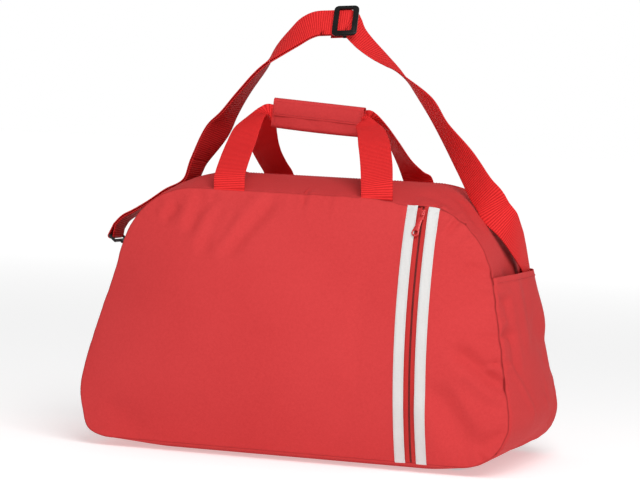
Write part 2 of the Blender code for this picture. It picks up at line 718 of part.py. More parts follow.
def band(name, kind, route, widths, thickness, breadths):
    """Flat webbing along a route, with its width direction and breadth at each place."""
    rows = [[place_ - width * breadth / 2, place_ + width * breadth / 2]
            for place_, width, breadth in zip(route, widths, breadths)]
    facing = (route[1] - route[0]).cross(widths[0])
    return sheet(name, kind, rows, thickness, lambda point: facing, offset=0.0)


def handles():
    """Two A-shaped carry handles, front and back, and the wrap that holds their grips together."""
    tilt = Matrix.Rotation(WRAP_TILT, 3, "Y")
    along = tilt @ Vector((1, 0, 0))
    upward = tilt @ Vector((0, 0, 1))
    grip_half = WRAP_LENGTH / 2 + 4 * GAP
    for name, face in (("front", 1), ("back", -1)):
        mirror = Vector((1, face, 1))
        spread_y = Vector((0, -face * GRIP_SPREAD, 0))
        for side_name, side in (("left", -1), ("right", 1)):
            foot = Vector((side * HANDLE_HALF, -(BODY_DEPTH - WEBBING_T) / 2, SEAM_TOP + 2 * GAP))
            head = WRAP_CENTRE + along * side * (grip_half + GAP) - Vector((0, GRIP_SPREAD, 0))
            lifts = [Vector((LEG_FOOT_DRIFT[side_name] * index, *lift))
                     for index, (lift, _) in enumerate(LEG_ABOVE_FOOT)]
            places = [foot] + [foot + lift for lift in lifts]
            places += [head + Vector(p) * Vector((side, 1, 1)) for p, _ in LEG_BEFORE_HEAD]
            places += [head + along * side * LEG_STRAIGHT, head]
            places = [place_ * mirror for place_ in places]
            facings = [Vector(n) * mirror for _, n in LEG_ABOVE_FOOT + LEG_BEFORE_HEAD]
            level = Vector((0, -1, 0)) * mirror
            facings = [level] + facings + [level] * 2
            route = smooth_route(places, 4)
            widths = across_route(route, smooth_route(facings, 4))
            widths[0] = Vector((math.copysign(1.0, widths[0].x), 0, 0))
            widths[-1] = upward * math.copysign(1.0, widths[-1].z)
            grow = [ease(index / (len(route) - 1)) for index in range(len(route))]
            breadths = [WEBBING_WIDTH + (GRIP_WIDTH - WEBBING_WIDTH) * g for g in grow]
            band(f"{name}_handle_{side_name}_leg", "webbing", route, widths, WEBBING_T, breadths)
        ends = [WRAP_CENTRE + along * side * grip_half + spread_y for side in (-1, 1)]
        band(f"{name}_handle_grip", "webbing", ends, [upward] * 2, WEBBING_T, [GRIP_WIDTH] * 2)
    inner_half = GRIP_SPREAD + WEBBING_T / 2 + WRAP_CLEARANCE
    tall_half = GRIP_WIDTH / 2 + WRAP_CLEARANCE
    outer = rounded_box(inner_half + WRAP_T, tall_half + WRAP_T, inner_half)
    inner = rounded_box(inner_half, tall_half, WRAP_CLEARANCE)
    section = frame_matrix(WRAP_CENTRE, Vector((0, 1, 0)), upward, along)
    plate("handle_wrap", "polyester", [outer, inner], WRAP_LENGTH, section)
    front = -(inner_half + WRAP_T + GAP)
    top = tall_half + WRAP_T - inner_half
    hinge = WRAP_CENTRE + upward * top + Vector((0, front, 0))
    drop = upward * 2 * tall_half * FLAP_SHARE
    flap_half = WRAP_LENGTH / 2 - FABRIC
    rows = [[hinge + along * flap_half * side - drop * t for side in (-1, 1)] for t in (0.0, 0.5, 1.0)]
    sheet("wrap_flap", "polyester", rows, WRAP_FLAP_T, backwards, origin=hinge)


# Rings, hooks and swivels


def hardware_frame(side_name):
    """Where the ring's bar lies on an end panel, and the directions that its hardware follows."""
    side = 1 if side_name == "right" else -1
    s = side * seam_at_height(SEAM_TOP - RING_DROP[side_name])
    _, _, nx, nz = seam(s)
    out = Vector((nx, 0, nz))
    up = Vector((-side * nz, 0, side * nx))
    bar = gusset(s, 0.0) + out * (GAP + TAB_T / 2 + TAB_LOOP)
    lean = HARDWARE_LEAN[side_name]
    along = Vector((side * math.sin(lean), 0, math.cos(lean)))
    outer = Vector((side * math.cos(lean), 0, -math.sin(lean)))
    return bar, out, up, along, outer


def swivel_bar(side_name):
    """Middle of the bar that the strap loops round."""
    bar, _, _, along, _ = hardware_frame(side_name)
    reach = RING_HEIGHT + HOOK_REACH + GAP + SWIVEL_NECK + SWIVEL_BAR + SWIVEL_SLOT + SWIVEL_BAR / 2
    return bar + along * reach


def end_hardware(side_name):
    bar, out, up, along, outer = hardware_frame(side_name)
    wide = Vector((0, 1, 0))
    seat = bar - out * TAB_LOOP
    route = [seat - up * TAB_LENGTH * t for t in (1.0, 0.5)]
    route += [bar + TAB_LOOP * (-out * math.cos(a) + up * math.sin(a)) for a in spread(0.0, math.pi, 8)]
    doubled = TAB_T + GAP
    route += [seat + out * doubled - up * TAB_LENGTH * t for t in (0.6, 1.0)]
    band(f"{side_name}_ring_tab", "webbing", route, [wide] * len(route), TAB_T, [TAB_WIDTH] * len(route))

    corner = RING_WIRE
    ring = [(-RING_HALF + corner, 0.0), (RING_HALF - corner, 0.0), (RING_HALF - corner * 0.3, corner * 0.3)]
    arch = RING_HEIGHT - corner
    ring += [(RING_HALF * math.cos(a), corner + arch * math.sin(a)) for a in spread(0.0, math.pi, 12)]
    ring += [(-RING_HALF + corner * 0.3, corner * 0.3)]
    tube(f"{side_name}_ring", "black_metal", [bar + wide * y + along * d for y, d in ring], RING_R, True)

    low = RING_HEIGHT
    hook = [(-HOOK_BEND, low + HOOK_TIP), (-HOOK_BEND, low + HOOK_TIP / 2)]
    hook += [(-HOOK_BEND * math.cos(a), low - HOOK_BEND * math.sin(a)) for a in spread(0.0, math.pi, 8)]
    hook += [(HOOK_BEND, low + HOOK_REACH * 0.45), (HOOK_BEND * 0.85, low + HOOK_REACH * 0.6),
             (HOOK_BEND * 0.25, low + HOOK_REACH * 0.75), (0.0, low + HOOK_REACH * 0.85), (0.0, low + HOOK_REACH)]
    tube(f"{side_name}_hook", "black_metal", [bar + outer * e + along * d for e, d in hook], HOOK_WIRE / 2)

    gate_foot = low + HOOK_TIP + GAP
    gate_side = HOOK_WIRE / 2 + GAP + GATE_WIRE / 2
    gate = [(-HOOK_BEND, gate_foot), (-gate_side, gate_foot + GATE_LENGTH)]
    points = [bar + outer * e + along * d for e, d in gate]
    tube(f"{side_name}_hook_gate", "black_metal", points, GATE_WIRE / 2, origin=points[-1])

    neck = low + HOOK_REACH + GAP
    base = neck + SWIVEL_NECK
    slot_low = base + SWIVEL_BAR
    slot_high = slot_low + SWIVEL_SLOT
    slot_half = WEBBING_WIDTH / 2 + 4 * GAP
    eye_half = slot_half + SWIVEL_BAR
    outline = [(-SWIVEL_BAR, neck), (SWIVEL_BAR, neck), (SWIVEL_BAR, base), (eye_half, base),
               (eye_half, slot_high + SWIVEL_BAR), (-eye_half, slot_high + SWIVEL_BAR), (-eye_half, base),
               (-SWIVEL_BAR, base)]
    slot = [(-slot_half, slot_low), (slot_half, slot_low), (slot_half, slot_high), (-slot_half, slot_high)]
    plane = frame_matrix(bar, wide, along, wide.cross(along))
    plate(f"{side_name}_hook_swivel", "black_metal", [outline, slot], SWIVEL_T, plane)


# Shoulder strap


def strap_routes():
    """Middle line and widths of the strap: left stretch, straight stretch at the adjuster, right stretch."""
    left_end, right_end = swivel_bar("left"), swivel_bar("right")
    ahead = Vector((math.cos(ADJUSTER_SLOPE), 0.0, math.sin(ADJUSTER_SLOPE)))
    straight = [ADJUSTER_POINT + ahead * t for t in spread(-STRAIGHT_BEFORE, STRAIGHT_AFTER, 4)]
    flat = [ADJUSTER_FACE] * 2
    left = [left_end + Vector(p) for p, _ in STRAP_FROM_LEFT]
    left += [ADJUSTER_POINT + Vector(p) for p, _ in STRAP_TO_ADJUSTER]
    left_facing = [Vector(n) for _, n in STRAP_FROM_LEFT + STRAP_TO_ADJUSTER]
    right = [ADJUSTER_POINT + Vector(p) for p, _ in STRAP_FROM_ADJUSTER]
    right += [right_end + Vector(p) for p, _ in STRAP_TO_RIGHT]
    right_facing = [Vector(n) for _, n in STRAP_FROM_ADJUSTER + STRAP_TO_RIGHT]
    left = smooth_route(left + straight[:2], STRAP_STEPS)[:-STRAP_STEPS]
    right = smooth_route(straight[-2:] + right, STRAP_STEPS)[STRAP_STEPS:]
    left_wide = across_route(left, smooth_route(left_facing + flat, STRAP_STEPS)[:-STRAP_STEPS])
    right_wide = across_route(right, smooth_route(flat + right_facing, STRAP_STEPS)[STRAP_STEPS:])
    level = ahead.cross(ADJUSTER_FACE).normalized()
    left_wide[-1] = level
    right_wide[0] = level
    return (left, left_wide), (straight, level), (right, right_wide)


def behind(route, widths, distance):
    """The same route moved back from its face."""
    moved = []
    for index, (place_, width) in enumerate(zip(route, widths)):
        ahead = route[min(index + 1, len(route) - 1)] - route[max(index - 1, 0)]
        moved.append(place_ + ahead.cross(width).normalized() * distance)
    return moved


def webbing(name, route, widths):
    band(name, "webbing", route, widths, WEBBING_T, [WEBBING_WIDTH] * len(route))


def turn_round(middle, start, onward, radius, steps=8):
    """Half a turn from the start direction, through onward, to the far side."""
    return [middle + radius * (start * math.cos(a) + onward * math.sin(a)) for a in spread(0.0, math.pi, steps)]


def back_from(route, distance):
    """The same route with its last place drawn back."""
    return route[:-1] + [route[-1] + (route[-2] - route[-1]).normalized() * distance]


def strap():
    """Webbing from the adjuster down to the left hook, back up through the adjuster, to the right hook."""
    (left, left_wide), (straight, level), (right, right_wide) = strap_routes()
    cut_left = len(STRAP_FROM_LEFT) * STRAP_STEPS
    cut_right = len(STRAP_FROM_ADJUSTER) * STRAP_STEPS
    arch = left[cut_left:] + straight[1:-1] + right[:cut_right + 1]
    webbing("strap_arch", arch, left_wide[cut_left:] + [level] * (len(straight) - 2) + right_wide[:cut_right + 1])

    under = behind(left, left_wide, STRAP_LAYERS)
    bar = swivel_bar("left")
    away = ((left[0] + under[0]) / 2 - bar).normalized()
    crosswise = Vector((0, -1, 0))
    inner = away.cross(crosswise)
    turn = turn_round(bar, inner, -away, STRAP_LOOP)
    down = back_from(under[:cut_left + 1], 2 * GAP)[::-1]
    rise = back_from(left[:cut_left + 1], 2 * GAP)
    widths = left_wide[:cut_left + 1]
    webbing("strap_left_loop", down + turn + rise, widths[::-1] + [crosswise] * len(turn) + widths)

    ahead = (straight[-1] - straight[0]).normalized()
    face = level.cross(ahead)
    bar_depth = STRAP_LAYERS + WEBBING_T / 2 + GAP + ADJUSTER_T / 2
    bar = ADJUSTER_POINT - face * bar_depth
    bend = bar + ahead * (ADJUSTER_BAR / 2 - GAP)
    turn = turn_round(bend, face, ahead, bar_depth - STRAP_LAYERS)
    tail = turn[-1] - ahead * RETURN_TAIL
    webbing("strap_return", under[cut_left:] + turn + [tail], left_wide[cut_left:] + [level] * (len(turn) + 1))
    strap_adjuster(frame_matrix(ADJUSTER_POINT, ahead, face.cross(ahead), face), bar_depth)

    _, _, _, along, outer = hardware_frame("right")
    bar = swivel_bar("right")
    turn = turn_round(bar, outer, -along, STRAP_LOOP)
    tail = bar + along * SEWN_TAIL - outer * WEBBING_T
    fall = back_from(right[:cut_right - 1:-1], 2 * GAP)[::-1]
    webbing("strap_right_end", fall + turn + [tail], right_wide[cut_right:] + [crosswise] * (len(turn) + 1))


def strap_adjuster(matrix, bar_depth):
    """Three-bar slide: two bars cross the webbing's face, and the middle one lies behind it."""
    half = WEBBING_WIDTH / 2 + 2 * GAP
    outside = half + ADJUSTER_SIDE
    inside = half + ADJUSTER_SIDE / 2
    long_half = ADJUSTER_LENGTH / 2
    front_low = WEBBING_T / 2 + GAP
    front_high = front_low + ADJUSTER_T
    rear_low = -bar_depth - ADJUSTER_T / 2
    rear_high = -bar_depth + ADJUSTER_T / 2
    bar_half = ADJUSTER_BAR / 2
    boxes = []
    for x, low, high in ((bar_half - long_half, front_low, front_high), (0.0, rear_low, rear_high),
                         (long_half - bar_half, front_low, front_high)):
        boxes.append(((x - bar_half, -inside, low), (x + bar_half, inside, high)))
    for y_low, y_high in ((-outside, -half), (half, outside)):
        boxes.append(((-long_half - GAP, y_low, rear_low - GAP), (long_half + GAP, y_high, front_high + GAP)))
    joined_boxes("strap_adjuster", "black_plastic", [boxes[3], *boxes[:3], boxes[4]], matrix)


def main():
    start_clean()
    bottom_and_ends()
    end_pocket()
    top_pieces()
    front_panels()
    lining_and_back()
    zip_sliders()
    handles()
    for side_name in ("left", "right"):
        end_hardware(side_name)
    strap()


main()
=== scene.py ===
# %% [markdown]
# # A soft sports holdall
# A red polyester bag with D-shaped sides: a zipped top, a front pocket zipped between two white ribbons,
# a slip pocket on its right end, webbing handles held by a wrap, and a clip-on shoulder strap.
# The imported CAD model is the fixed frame. Each cell below makes one piece of cloth, webbing or hardware
# in the place that the frame gives it, in metres, with +Z up and the front facing -Y.

# %% Load the frame
import math

import bpy
import numpy as np
from mathutils import Matrix, Quaternion, Vector
from mathutils.kdtree import KDTree


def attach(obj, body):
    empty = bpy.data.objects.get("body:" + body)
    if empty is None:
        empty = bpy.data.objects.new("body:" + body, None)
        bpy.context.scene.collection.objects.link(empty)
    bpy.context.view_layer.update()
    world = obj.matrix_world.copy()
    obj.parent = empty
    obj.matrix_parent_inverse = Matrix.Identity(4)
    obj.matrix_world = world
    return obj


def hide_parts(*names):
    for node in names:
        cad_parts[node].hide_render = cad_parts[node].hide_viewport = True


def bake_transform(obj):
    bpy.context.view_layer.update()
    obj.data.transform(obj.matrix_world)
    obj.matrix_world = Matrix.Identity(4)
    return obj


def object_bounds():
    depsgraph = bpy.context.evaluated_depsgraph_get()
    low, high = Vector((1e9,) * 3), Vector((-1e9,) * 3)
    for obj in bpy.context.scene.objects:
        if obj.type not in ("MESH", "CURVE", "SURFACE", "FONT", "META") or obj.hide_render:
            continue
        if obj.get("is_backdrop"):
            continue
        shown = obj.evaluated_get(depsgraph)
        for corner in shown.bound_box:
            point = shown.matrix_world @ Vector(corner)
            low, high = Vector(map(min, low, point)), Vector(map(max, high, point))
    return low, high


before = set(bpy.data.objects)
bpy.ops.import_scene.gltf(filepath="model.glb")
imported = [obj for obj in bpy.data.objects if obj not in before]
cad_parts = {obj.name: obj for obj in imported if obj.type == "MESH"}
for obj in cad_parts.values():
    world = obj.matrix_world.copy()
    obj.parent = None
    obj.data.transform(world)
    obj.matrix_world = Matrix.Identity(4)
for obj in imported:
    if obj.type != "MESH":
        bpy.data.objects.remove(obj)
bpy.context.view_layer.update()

# %% [markdown]
# ## Camera
# The picture was taken from the front and a little to the right, from about the height of the bag, with a
# long lens and a slight roll. A camera on a sphere about the bag's middle gives that view with few numbers.

# %% Camera
VIEW_TURN, VIEW_RISE, VIEW_ROLL = (math.radians(angle) for angle in (15.27, 2.71, 2.88))
VIEW_TARGET = Vector((-0.0138, 0.0, 0.2561))
VIEW_DISTANCE = 3.0
VIEW_LENS = 137.25

view_back = Vector((math.sin(VIEW_TURN) * math.cos(VIEW_RISE), -math.cos(VIEW_TURN) * math.cos(VIEW_RISE),
                    math.sin(VIEW_RISE)))
bpy.ops.object.camera_add(location=VIEW_TARGET + view_back * VIEW_DISTANCE)
camera = bpy.context.object
camera.rotation_mode = "QUATERNION"
camera.rotation_quaternion = (-view_back).to_track_quat("-Z", "Y") @ Quaternion((0, 0, 1), VIEW_ROLL)
camera.data.lens = VIEW_LENS
camera.data.sensor_fit = "HORIZONTAL"
bpy.context.scene.camera = camera
print("camera", [round(x, 3) for x in camera.location])

# %% [markdown]
# ## Lamps
# One large soft lamp stands in front at the upper right, near enough to fall off across the bag, and a
# weak one keeps the left side readable.

# %% Lamps
scene = bpy.context.scene
scene.view_settings.view_transform = "Standard"


def soft_lamp(name, place, size, power):
    bpy.ops.object.light_add(type="AREA", location=place)
    lamp = bpy.context.object
    lamp.name = name
    lamp.data.size = size
    lamp.data.energy = power
    lamp.rotation_mode = "QUATERNION"
    lamp.rotation_quaternion = (Vector((0.0, 0.0, 0.2)) - Vector(place)).to_track_quat("-Z", "Y")


soft_lamp("key_lamp", (1.10, -1.75, 2.20), 1.9, 60.0)
soft_lamp("fill_lamp", (-0.7, -2.6, 0.9), 1.5, 3.5)

# %% [markdown]
# ## Writing finishes as sums
# A finish is a Principled shader fed by patterns. Wrapping a node's output in a small class lets the
# patterns be written as ordinary sums and products, and one method adds every other kind of node.

# %% Signals and finishes


class Signal:
    """One output of a node; arithmetic with it adds Math nodes to its finish."""

    def __init__(self, finish, socket):
        self.finish = finish
        self.socket = socket

    def math(self, operation, first, second=0.0):
        return self.finish.node("ShaderNodeMath", {"operation": operation}, {0: first, 1: second})

    def __add__(self, other):
        return self.math("ADD", self, other)

    def __rsub__(self, other):
        return self.math("SUBTRACT", other, self)

    def __mul__(self, other):
        return self.math("MULTIPLY", self, other)

    def __truediv__(self, other):
        return self.math("DIVIDE", self, other)

    def wave(self, pitch):
        """A sine from 0 to 1 that repeats every pitch."""
        return self.math("SINE", self * (math.tau / pitch)) * 0.5 + 0.5


class Finish:
    """A material with its slot name, whose Principled shader is fed by signals."""

    def __init__(self, name, slot, **constants):
        self.slot = slot
        self.material = bpy.data.materials.new(name)
        self.material.use_nodes = True
        self.tree = self.material.node_tree
        self.shader = self.tree.nodes["Principled BSDF"]
        for socket, value in constants.items():
            self.shader.inputs[socket.replace("_", " ")].default_value = value

    def node(self, kind, settings, sockets, output=0):
        node = self.tree.nodes.new(kind)
        for key, value in settings.items():
            if key == "stops":
                stops = node.color_ramp.elements
                stops.remove(stops[1])
                stops[0].position = value[0][0]
                stops[0].color = (*value[0][1], 1.0)
                for position, colour in value[1:]:
                    stops.new(position).color = (*colour, 1.0)
            else:
                setattr(node, key, value)
        for key, value in sockets.items():
            if isinstance(value, Signal):
                self.tree.links.new(value.socket, node.inputs[key])
            else:
                node.inputs[key].default_value = value
        return Signal(self, node.outputs[output])

    def feed(self, socket, signal):
        self.tree.links.new(signal.socket, self.shader.inputs[socket])

    def place(self):
        return self.node("ShaderNodeTexCoord", {}, {}, "Object")

    def cloth_axes(self):
        """The piece's own UV map in metres: across it, and along it."""
        uv = self.node("ShaderNodeTexCoord", {}, {}, "UV")
        return (self.node("ShaderNodeSeparateXYZ", {}, {"Vector": uv}, axis) for axis in ("X", "Y"))

    def noise(self, scale, detail=2.0, rough=0.5):
        sockets = {"Vector": self.place(), "Scale": scale, "Detail": detail, "Roughness": rough}
        return self.node("ShaderNodeTexNoise", {}, sockets)

    def ramp(self, signal, *stops):
        return self.node("ShaderNodeValToRGB", {"stops": stops}, {"Fac": signal})

    def mix(self, share, first, second):
        return self.node("ShaderNodeMix", {"data_type": "RGBA"}, {0: share, 6: first, 7: second}, 2)

    def bump(self, height, strength, distance):
        sockets = {"Height": height, "Strength": strength, "Distance": distance}
        self.feed("Normal", self.node("ShaderNodeBump", {}, sockets))


print("finishes are written as signals")

# %% [markdown]
# ## Floor and sky
# The floor is pale near the bag and fades to plain white far out, where it meets a white sky. The sky is
# white near the horizon and dimmer overhead, so that the lamps still shape the bag.

# %% Floor and sky
FLOOR_REACH, FLOOR_DROP, FLOOR_FADE = 40.0, 0.0005, 4.0
SKY_LEVELS = ((0.06, 1.0), (0.22, 0.34))
FLOOR_LEVELS = (("Base Color", 0.80, 0.0), ("Emission Color", 0.42, 1.0))

sky = bpy.data.worlds.new("studio_sky")
sky.use_nodes = True
sky_nodes, sky_links = sky.node_tree.nodes, sky.node_tree.links
sky_way = sky_nodes.new("ShaderNodeTexCoord")
sky_axes = sky_nodes.new("ShaderNodeSeparateXYZ")
sky_ramp = sky_nodes.new("ShaderNodeValToRGB")
for stop, (height, white) in zip(sky_ramp.color_ramp.elements, SKY_LEVELS):
    stop.position = height
    stop.color = (white, white, white, 1.0)
sky_links.new(sky_way.outputs["Generated"], sky_axes.inputs["Vector"])
sky_links.new(sky_axes.outputs["Z"], sky_ramp.inputs["Fac"])
sky_links.new(sky_ramp.outputs["Color"], sky_nodes["Background"].inputs["Color"])
scene.world = sky

bpy.ops.mesh.primitive_circle_add(vertices=96, radius=FLOOR_REACH, fill_type="NGON",
                                  location=(0, 0, -FLOOR_DROP))
floor = bpy.context.object
floor.name = "studio_floor"
floor_paint = Finish("studio_floor_paint", None, Roughness=0.9, Specular_IOR_Level=0.1,
                     Emission_Strength=1.0)
floor_way = floor_paint.place()
distance = floor_paint.node("ShaderNodeVectorMath", {"operation": "LENGTH"}, {0: floor_way}, "Value")
for socket, near, far in FLOOR_LEVELS:
    floor_paint.feed(socket, floor_paint.ramp(distance / FLOOR_FADE, (0.1, (near,) * 3), (1.0, (far,) * 3)))
floor.data.materials.append(floor_paint.material)
floor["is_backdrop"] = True
print("floor reaches", FLOOR_REACH, "m")

# %% [markdown]
# ## Cloth finishes
# The body is matt coated polyester with a fine plain weave; its tone drifts gently over the panels.
# Webbing has thick ribs across it, and painted shade darkens one side of it in places. Ribbon has fine
# ribs, and zip tape is a dense flat weave. Panels get painted shade along their seam grooves. Each pattern
# reads the piece's own UV map, laid out in metres, so that the threads keep their real size, and attributes
# mark where the painted shade goes.

# %% Cloth finishes
WEAVE_PITCH = 0.0011
WEBBING_RIB = 0.0027
WEBBING_CORD = 0.0016
RIBBON_RIB = 0.0009
# Painted shade on webbing: how dark its shaded side is against the lit one.
WEBBING_SHADE_TONE = 0.58
# Painted shade in the seam grooves: its tone against the cloth's dark colour, and its greatest share.
SEAM_SHADE_TONE, SEAM_SHADE_SHARE = 0.25, 0.6


def polyester(name, slot, dark, light):
    finish = Finish(name, slot, Specular_IOR_Level=0.07)
    across, along = finish.cloth_axes()
    weave = across.wave(WEAVE_PITCH) * along.wave(WEAVE_PITCH)
    weave = weave + (1 - across.wave(WEAVE_PITCH)) * (1 - along.wave(WEAVE_PITCH))
    cloud = finish.noise(7.0, 3.0)
    slub = finish.noise(330.0, 2.0, 0.6)
    grain = finish.noise(800.0, 3.0, 0.6)
    tone = cloud * 0.30 + slub * 0.25 + grain * 0.20 + weave * 0.25
    cloth = finish.ramp(tone, (0.30, dark), (0.70, light))
    # Painted shade: the base colour is mixed towards a dark tone where the attribute marks a seam groove.
    groove = finish.node("ShaderNodeAttribute", {"attribute_name": "groove"}, {}, "Fac")
    shade = tuple(SEAM_SHADE_TONE * channel for channel in dark) + (1.0,)
    finish.feed("Base Color", finish.mix(groove * SEAM_SHADE_SHARE, cloth, shade))
    finish.feed("Roughness", grain * 0.16 + 0.68)
    finish.bump(weave * 0.4 + slub * 0.3 + grain * 0.3, 0.42, 0.0005)
    return finish


def ribbed_webbing(name, slot, dark, light):
    finish = Finish(name, slot, Specular_IOR_Level=0.05)
    across, along = finish.cloth_axes()
    rib = along.wave(WEBBING_RIB)
    cord = across.wave(WEBBING_CORD)
    grain = finish.noise(900.0, 2.0)
    face = finish.ramp(rib * 0.55 + cord * 0.10 + grain * 0.35, (0.18, dark), (0.72, light))
    # Painted shade: where the attribute marks a side of the webbing, its colour is darkened to stand in for
    # shade.
    shade_dark, shade_light = (tuple(WEBBING_SHADE_TONE * channel for channel in colour)
                             for colour in (dark, light))
    shaded_face = finish.ramp(rib * 0.75 + grain * 0.25, (0.15, shade_dark), (0.80, shade_light))
    reverse = finish.node("ShaderNodeAttribute", {"attribute_name": "reverse"}, {}, "Fac")
    finish.feed("Base Color", finish.mix(reverse, face, shaded_face))
    finish.feed("Roughness", 0.62 - rib * 0.14 + grain * 0.10)
    finish.bump(rib * 0.7 + cord * 0.2 + grain * 0.1, 0.6, 0.0006)
    return finish


def fine_ribbon(name, slot, dark, light, pitch=RIBBON_RIB, shine=0.3):
    finish = Finish(name, slot, Specular_IOR_Level=shine)
    across, along = finish.cloth_axes()
    rib = along.wave(pitch)
    edge = across.wave(pitch * 1.7)
    grain = finish.noise(700.0, 2.0)
    cloud = finish.noise(25.0, 2.0)
    tone = rib * 0.35 + edge * 0.10 + grain * 0.30 + cloud * 0.25
    finish.feed("Base Color", finish.ramp(tone, (0.25, dark), (0.70, light)))
    finish.feed("Roughness", grain * 0.15 + 0.58)
    finish.bump(rib * 0.6 + edge * 0.2 + grain * 0.2, 0.4, 0.0003)
    return finish


red_polyester = polyester("red_polyester", "polyester", (0.50, 0.034, 0.035), (0.62, 0.054, 0.055))
red_webbing = ribbed_webbing("red_webbing", "webbing", (0.48, 0.012, 0.013), (0.78, 0.033, 0.033))
white_ribbon = fine_ribbon("white_ribbon", "ribbon", (0.56, 0.55, 0.54), (0.70, 0.69, 0.68))
red_tape = fine_ribbon("red_tape", "zip_tape", (0.42, 0.016, 0.015), (0.56, 0.030, 0.028), 0.0007, 0.2)
lining_cloth = fine_ribbon("lining_cloth", "lining", (0.26, 0.02, 0.02), (0.36, 0.03, 0.03), 0.0012, 0.15)
red_thread = fine_ribbon("red_thread", "polyester", (0.40, 0.022, 0.026), (0.52, 0.036, 0.040), 0.0004, 0.3)
cloth_finishes = (red_polyester, red_webbing, white_ribbon, red_tape, lining_cloth, red_thread)
print("cloth finishes", [f.material.name for f in cloth_finishes])

# %% [markdown]
# ## Hard finishes
# The zip's coil is dark nylon, its sliders and pulls are painted metal with a little wear, and the hooks,
# rings and three-bar slide are black. Fine noise breaks the shine, as moulding and handling do.

# %% Hard finishes


def hard(name, slot, dark, light, rough, grain_scale, metallic=0.0, coat=0.0, shine=0.5):
    finish = Finish(name, slot, Metallic=metallic, Coat_Weight=coat, Coat_Roughness=0.2,
                    Specular_IOR_Level=shine)
    cloud = finish.noise(60.0, 3.0)
    grain = finish.noise(grain_scale, 2.0)
    finish.feed("Base Color", finish.ramp(cloud * 0.6 + grain * 0.4, (0.30, dark), (0.70, light)))
    finish.feed("Roughness", cloud * 0.12 + grain * 0.14 + (rough - 0.13))
    finish.bump(grain, 0.15, 0.0002)
    return finish


dark_coil = hard("dark_coil", "zip_coil", (0.18, 0.015, 0.013), (0.28, 0.024, 0.022), 0.5, 1500.0)
red_paint = hard("red_paint", "painted_metal", (0.50, 0.016, 0.018), (0.62, 0.026, 0.026), 0.38, 900.0,
                 metallic=0.2, coat=0.3)
black_plastic = hard("black_plastic", "black_plastic", (0.004, 0.004, 0.004), (0.011, 0.010, 0.010), 0.34,
                     800.0, shine=0.2)
black_metal = hard("black_metal", "black_metal", (0.016, 0.016, 0.017), (0.030, 0.030, 0.031), 0.36, 900.0,
                   metallic=0.7)
board_sheet = hard("board_sheet", "board", (0.03, 0.03, 0.03), (0.06, 0.06, 0.06), 0.6, 500.0)
hard_finishes = (dark_coil, red_paint, black_plastic, black_metal, board_sheet)
print("hard finishes", [f.material.name for f in hard_finishes])

# %% [markdown]
# ## Laying cloth and sweeping webbing
# Cloth panels start as Blender's grid, whose points are then laid on the panel's surface. Webbing, wires
# and sleeves start as a grid too, rolled round a profile that is carried along a route. Both keep a UV map
# in metres for the weave.

# %% Helpers for cloth and sweeps
# How far the painted shade reaches in from a seam.
SEAM_SHADE_WIDTH = 0.0013
WELD = 0.000002


def only(*pieces):
    """Select these pieces alone, with the last one active."""
    bpy.ops.object.select_all(action="DESELECT")
    for piece in pieces:
        piece.select_set(True)
        bpy.context.view_layer.objects.active = piece


def apply_modifiers(piece):
    only(piece)
    for modifier in list(piece.modifiers):
        bpy.ops.object.modifier_apply(modifier=modifier.name)


def smooth_edges(piece, degrees=35.0):
    only(piece)
    bpy.ops.object.shade_smooth_by_angle(angle=math.radians(degrees))
    return piece


def bevel_edges(offset, segments):
    """Bevel every edge of the active piece."""
    bpy.ops.object.mode_set(mode="EDIT")
    bpy.ops.mesh.select_all(action="SELECT")
    bpy.ops.mesh.bevel(offset=offset, segments=segments, affect="EDGES")
    bpy.ops.object.mode_set(mode="OBJECT")


def added(name, operator, **settings):
    """The named piece that an operator adds, with nothing else selected."""
    bpy.ops.object.select_all(action="DESELECT")
    operator(**settings)
    piece = bpy.context.object
    piece.name = name
    return piece


def lay_grid(name, points, uv, outward=None):
    """A grid of rows and columns laid on the points; outward tells which way its faces look."""
    rows, columns = points.shape[:2]
    piece = added(name, bpy.ops.mesh.primitive_grid_add, size=1.0, x_subdivisions=columns - 1,
                  y_subdivisions=rows - 1)
    mesh = piece.data
    mesh.name = name
    mesh.vertices.foreach_set("co", points.astype(np.float32).ravel())
    corners = np.empty(len(mesh.loops), np.int32)
    mesh.loops.foreach_get("vertex_index", corners)
    mesh.uv_layers.active.data.foreach_set("uv", uv.reshape(-1, 2)[corners].astype(np.float32).ravel())
    mesh.update()
    if outward is not None:
        normals = np.empty((len(mesh.polygons), 3), np.float32)
        centres = np.empty((len(mesh.polygons), 3), np.float32)
        mesh.polygons.foreach_get("normal", normals.ravel())
        mesh.polygons.foreach_get("center", centres.ravel())
        if (normals * outward(centres)).sum() < 0:
            mesh.flip_normals()
    mesh.shade_smooth()
    return piece


def mark(piece, name, values):
    """Store a value for each point of the piece, for its finish to read."""
    layer = piece.data.attributes.new(name, "FLOAT", "POINT")
    layer.data.foreach_set("value", values.astype(np.float32).ravel())


def mark_seam_shade(piece, distance):
    """Store how much painted shade each point gets in its seam groove, from its distance to the seam."""
    mark(piece, "groove", np.clip(1 - distance / SEAM_SHADE_WIDTH, 0.0, 1.0))


def declare_cut(piece):
    mesh = piece.data
    uv = np.empty((len(mesh.loops), 2), np.float32)
    mesh.uv_layers.active.data.foreach_get("uv", uv.ravel())
    return piece


def thicken(piece, thickness):
    wall = piece.modifiers.new("wall", "SOLIDIFY")
    wall.thickness = thickness
    wall.offset = -1.0
    apply_modifiers(piece)
    return smooth_edges(piece, 40.0)


def unit(vectors):
    return vectors / np.linalg.norm(vectors, axis=-1, keepdims=True)


def lengths_along(route):
    return np.concatenate([[0.0], np.cumsum(np.linalg.norm(np.diff(route, axis=0), axis=1))])


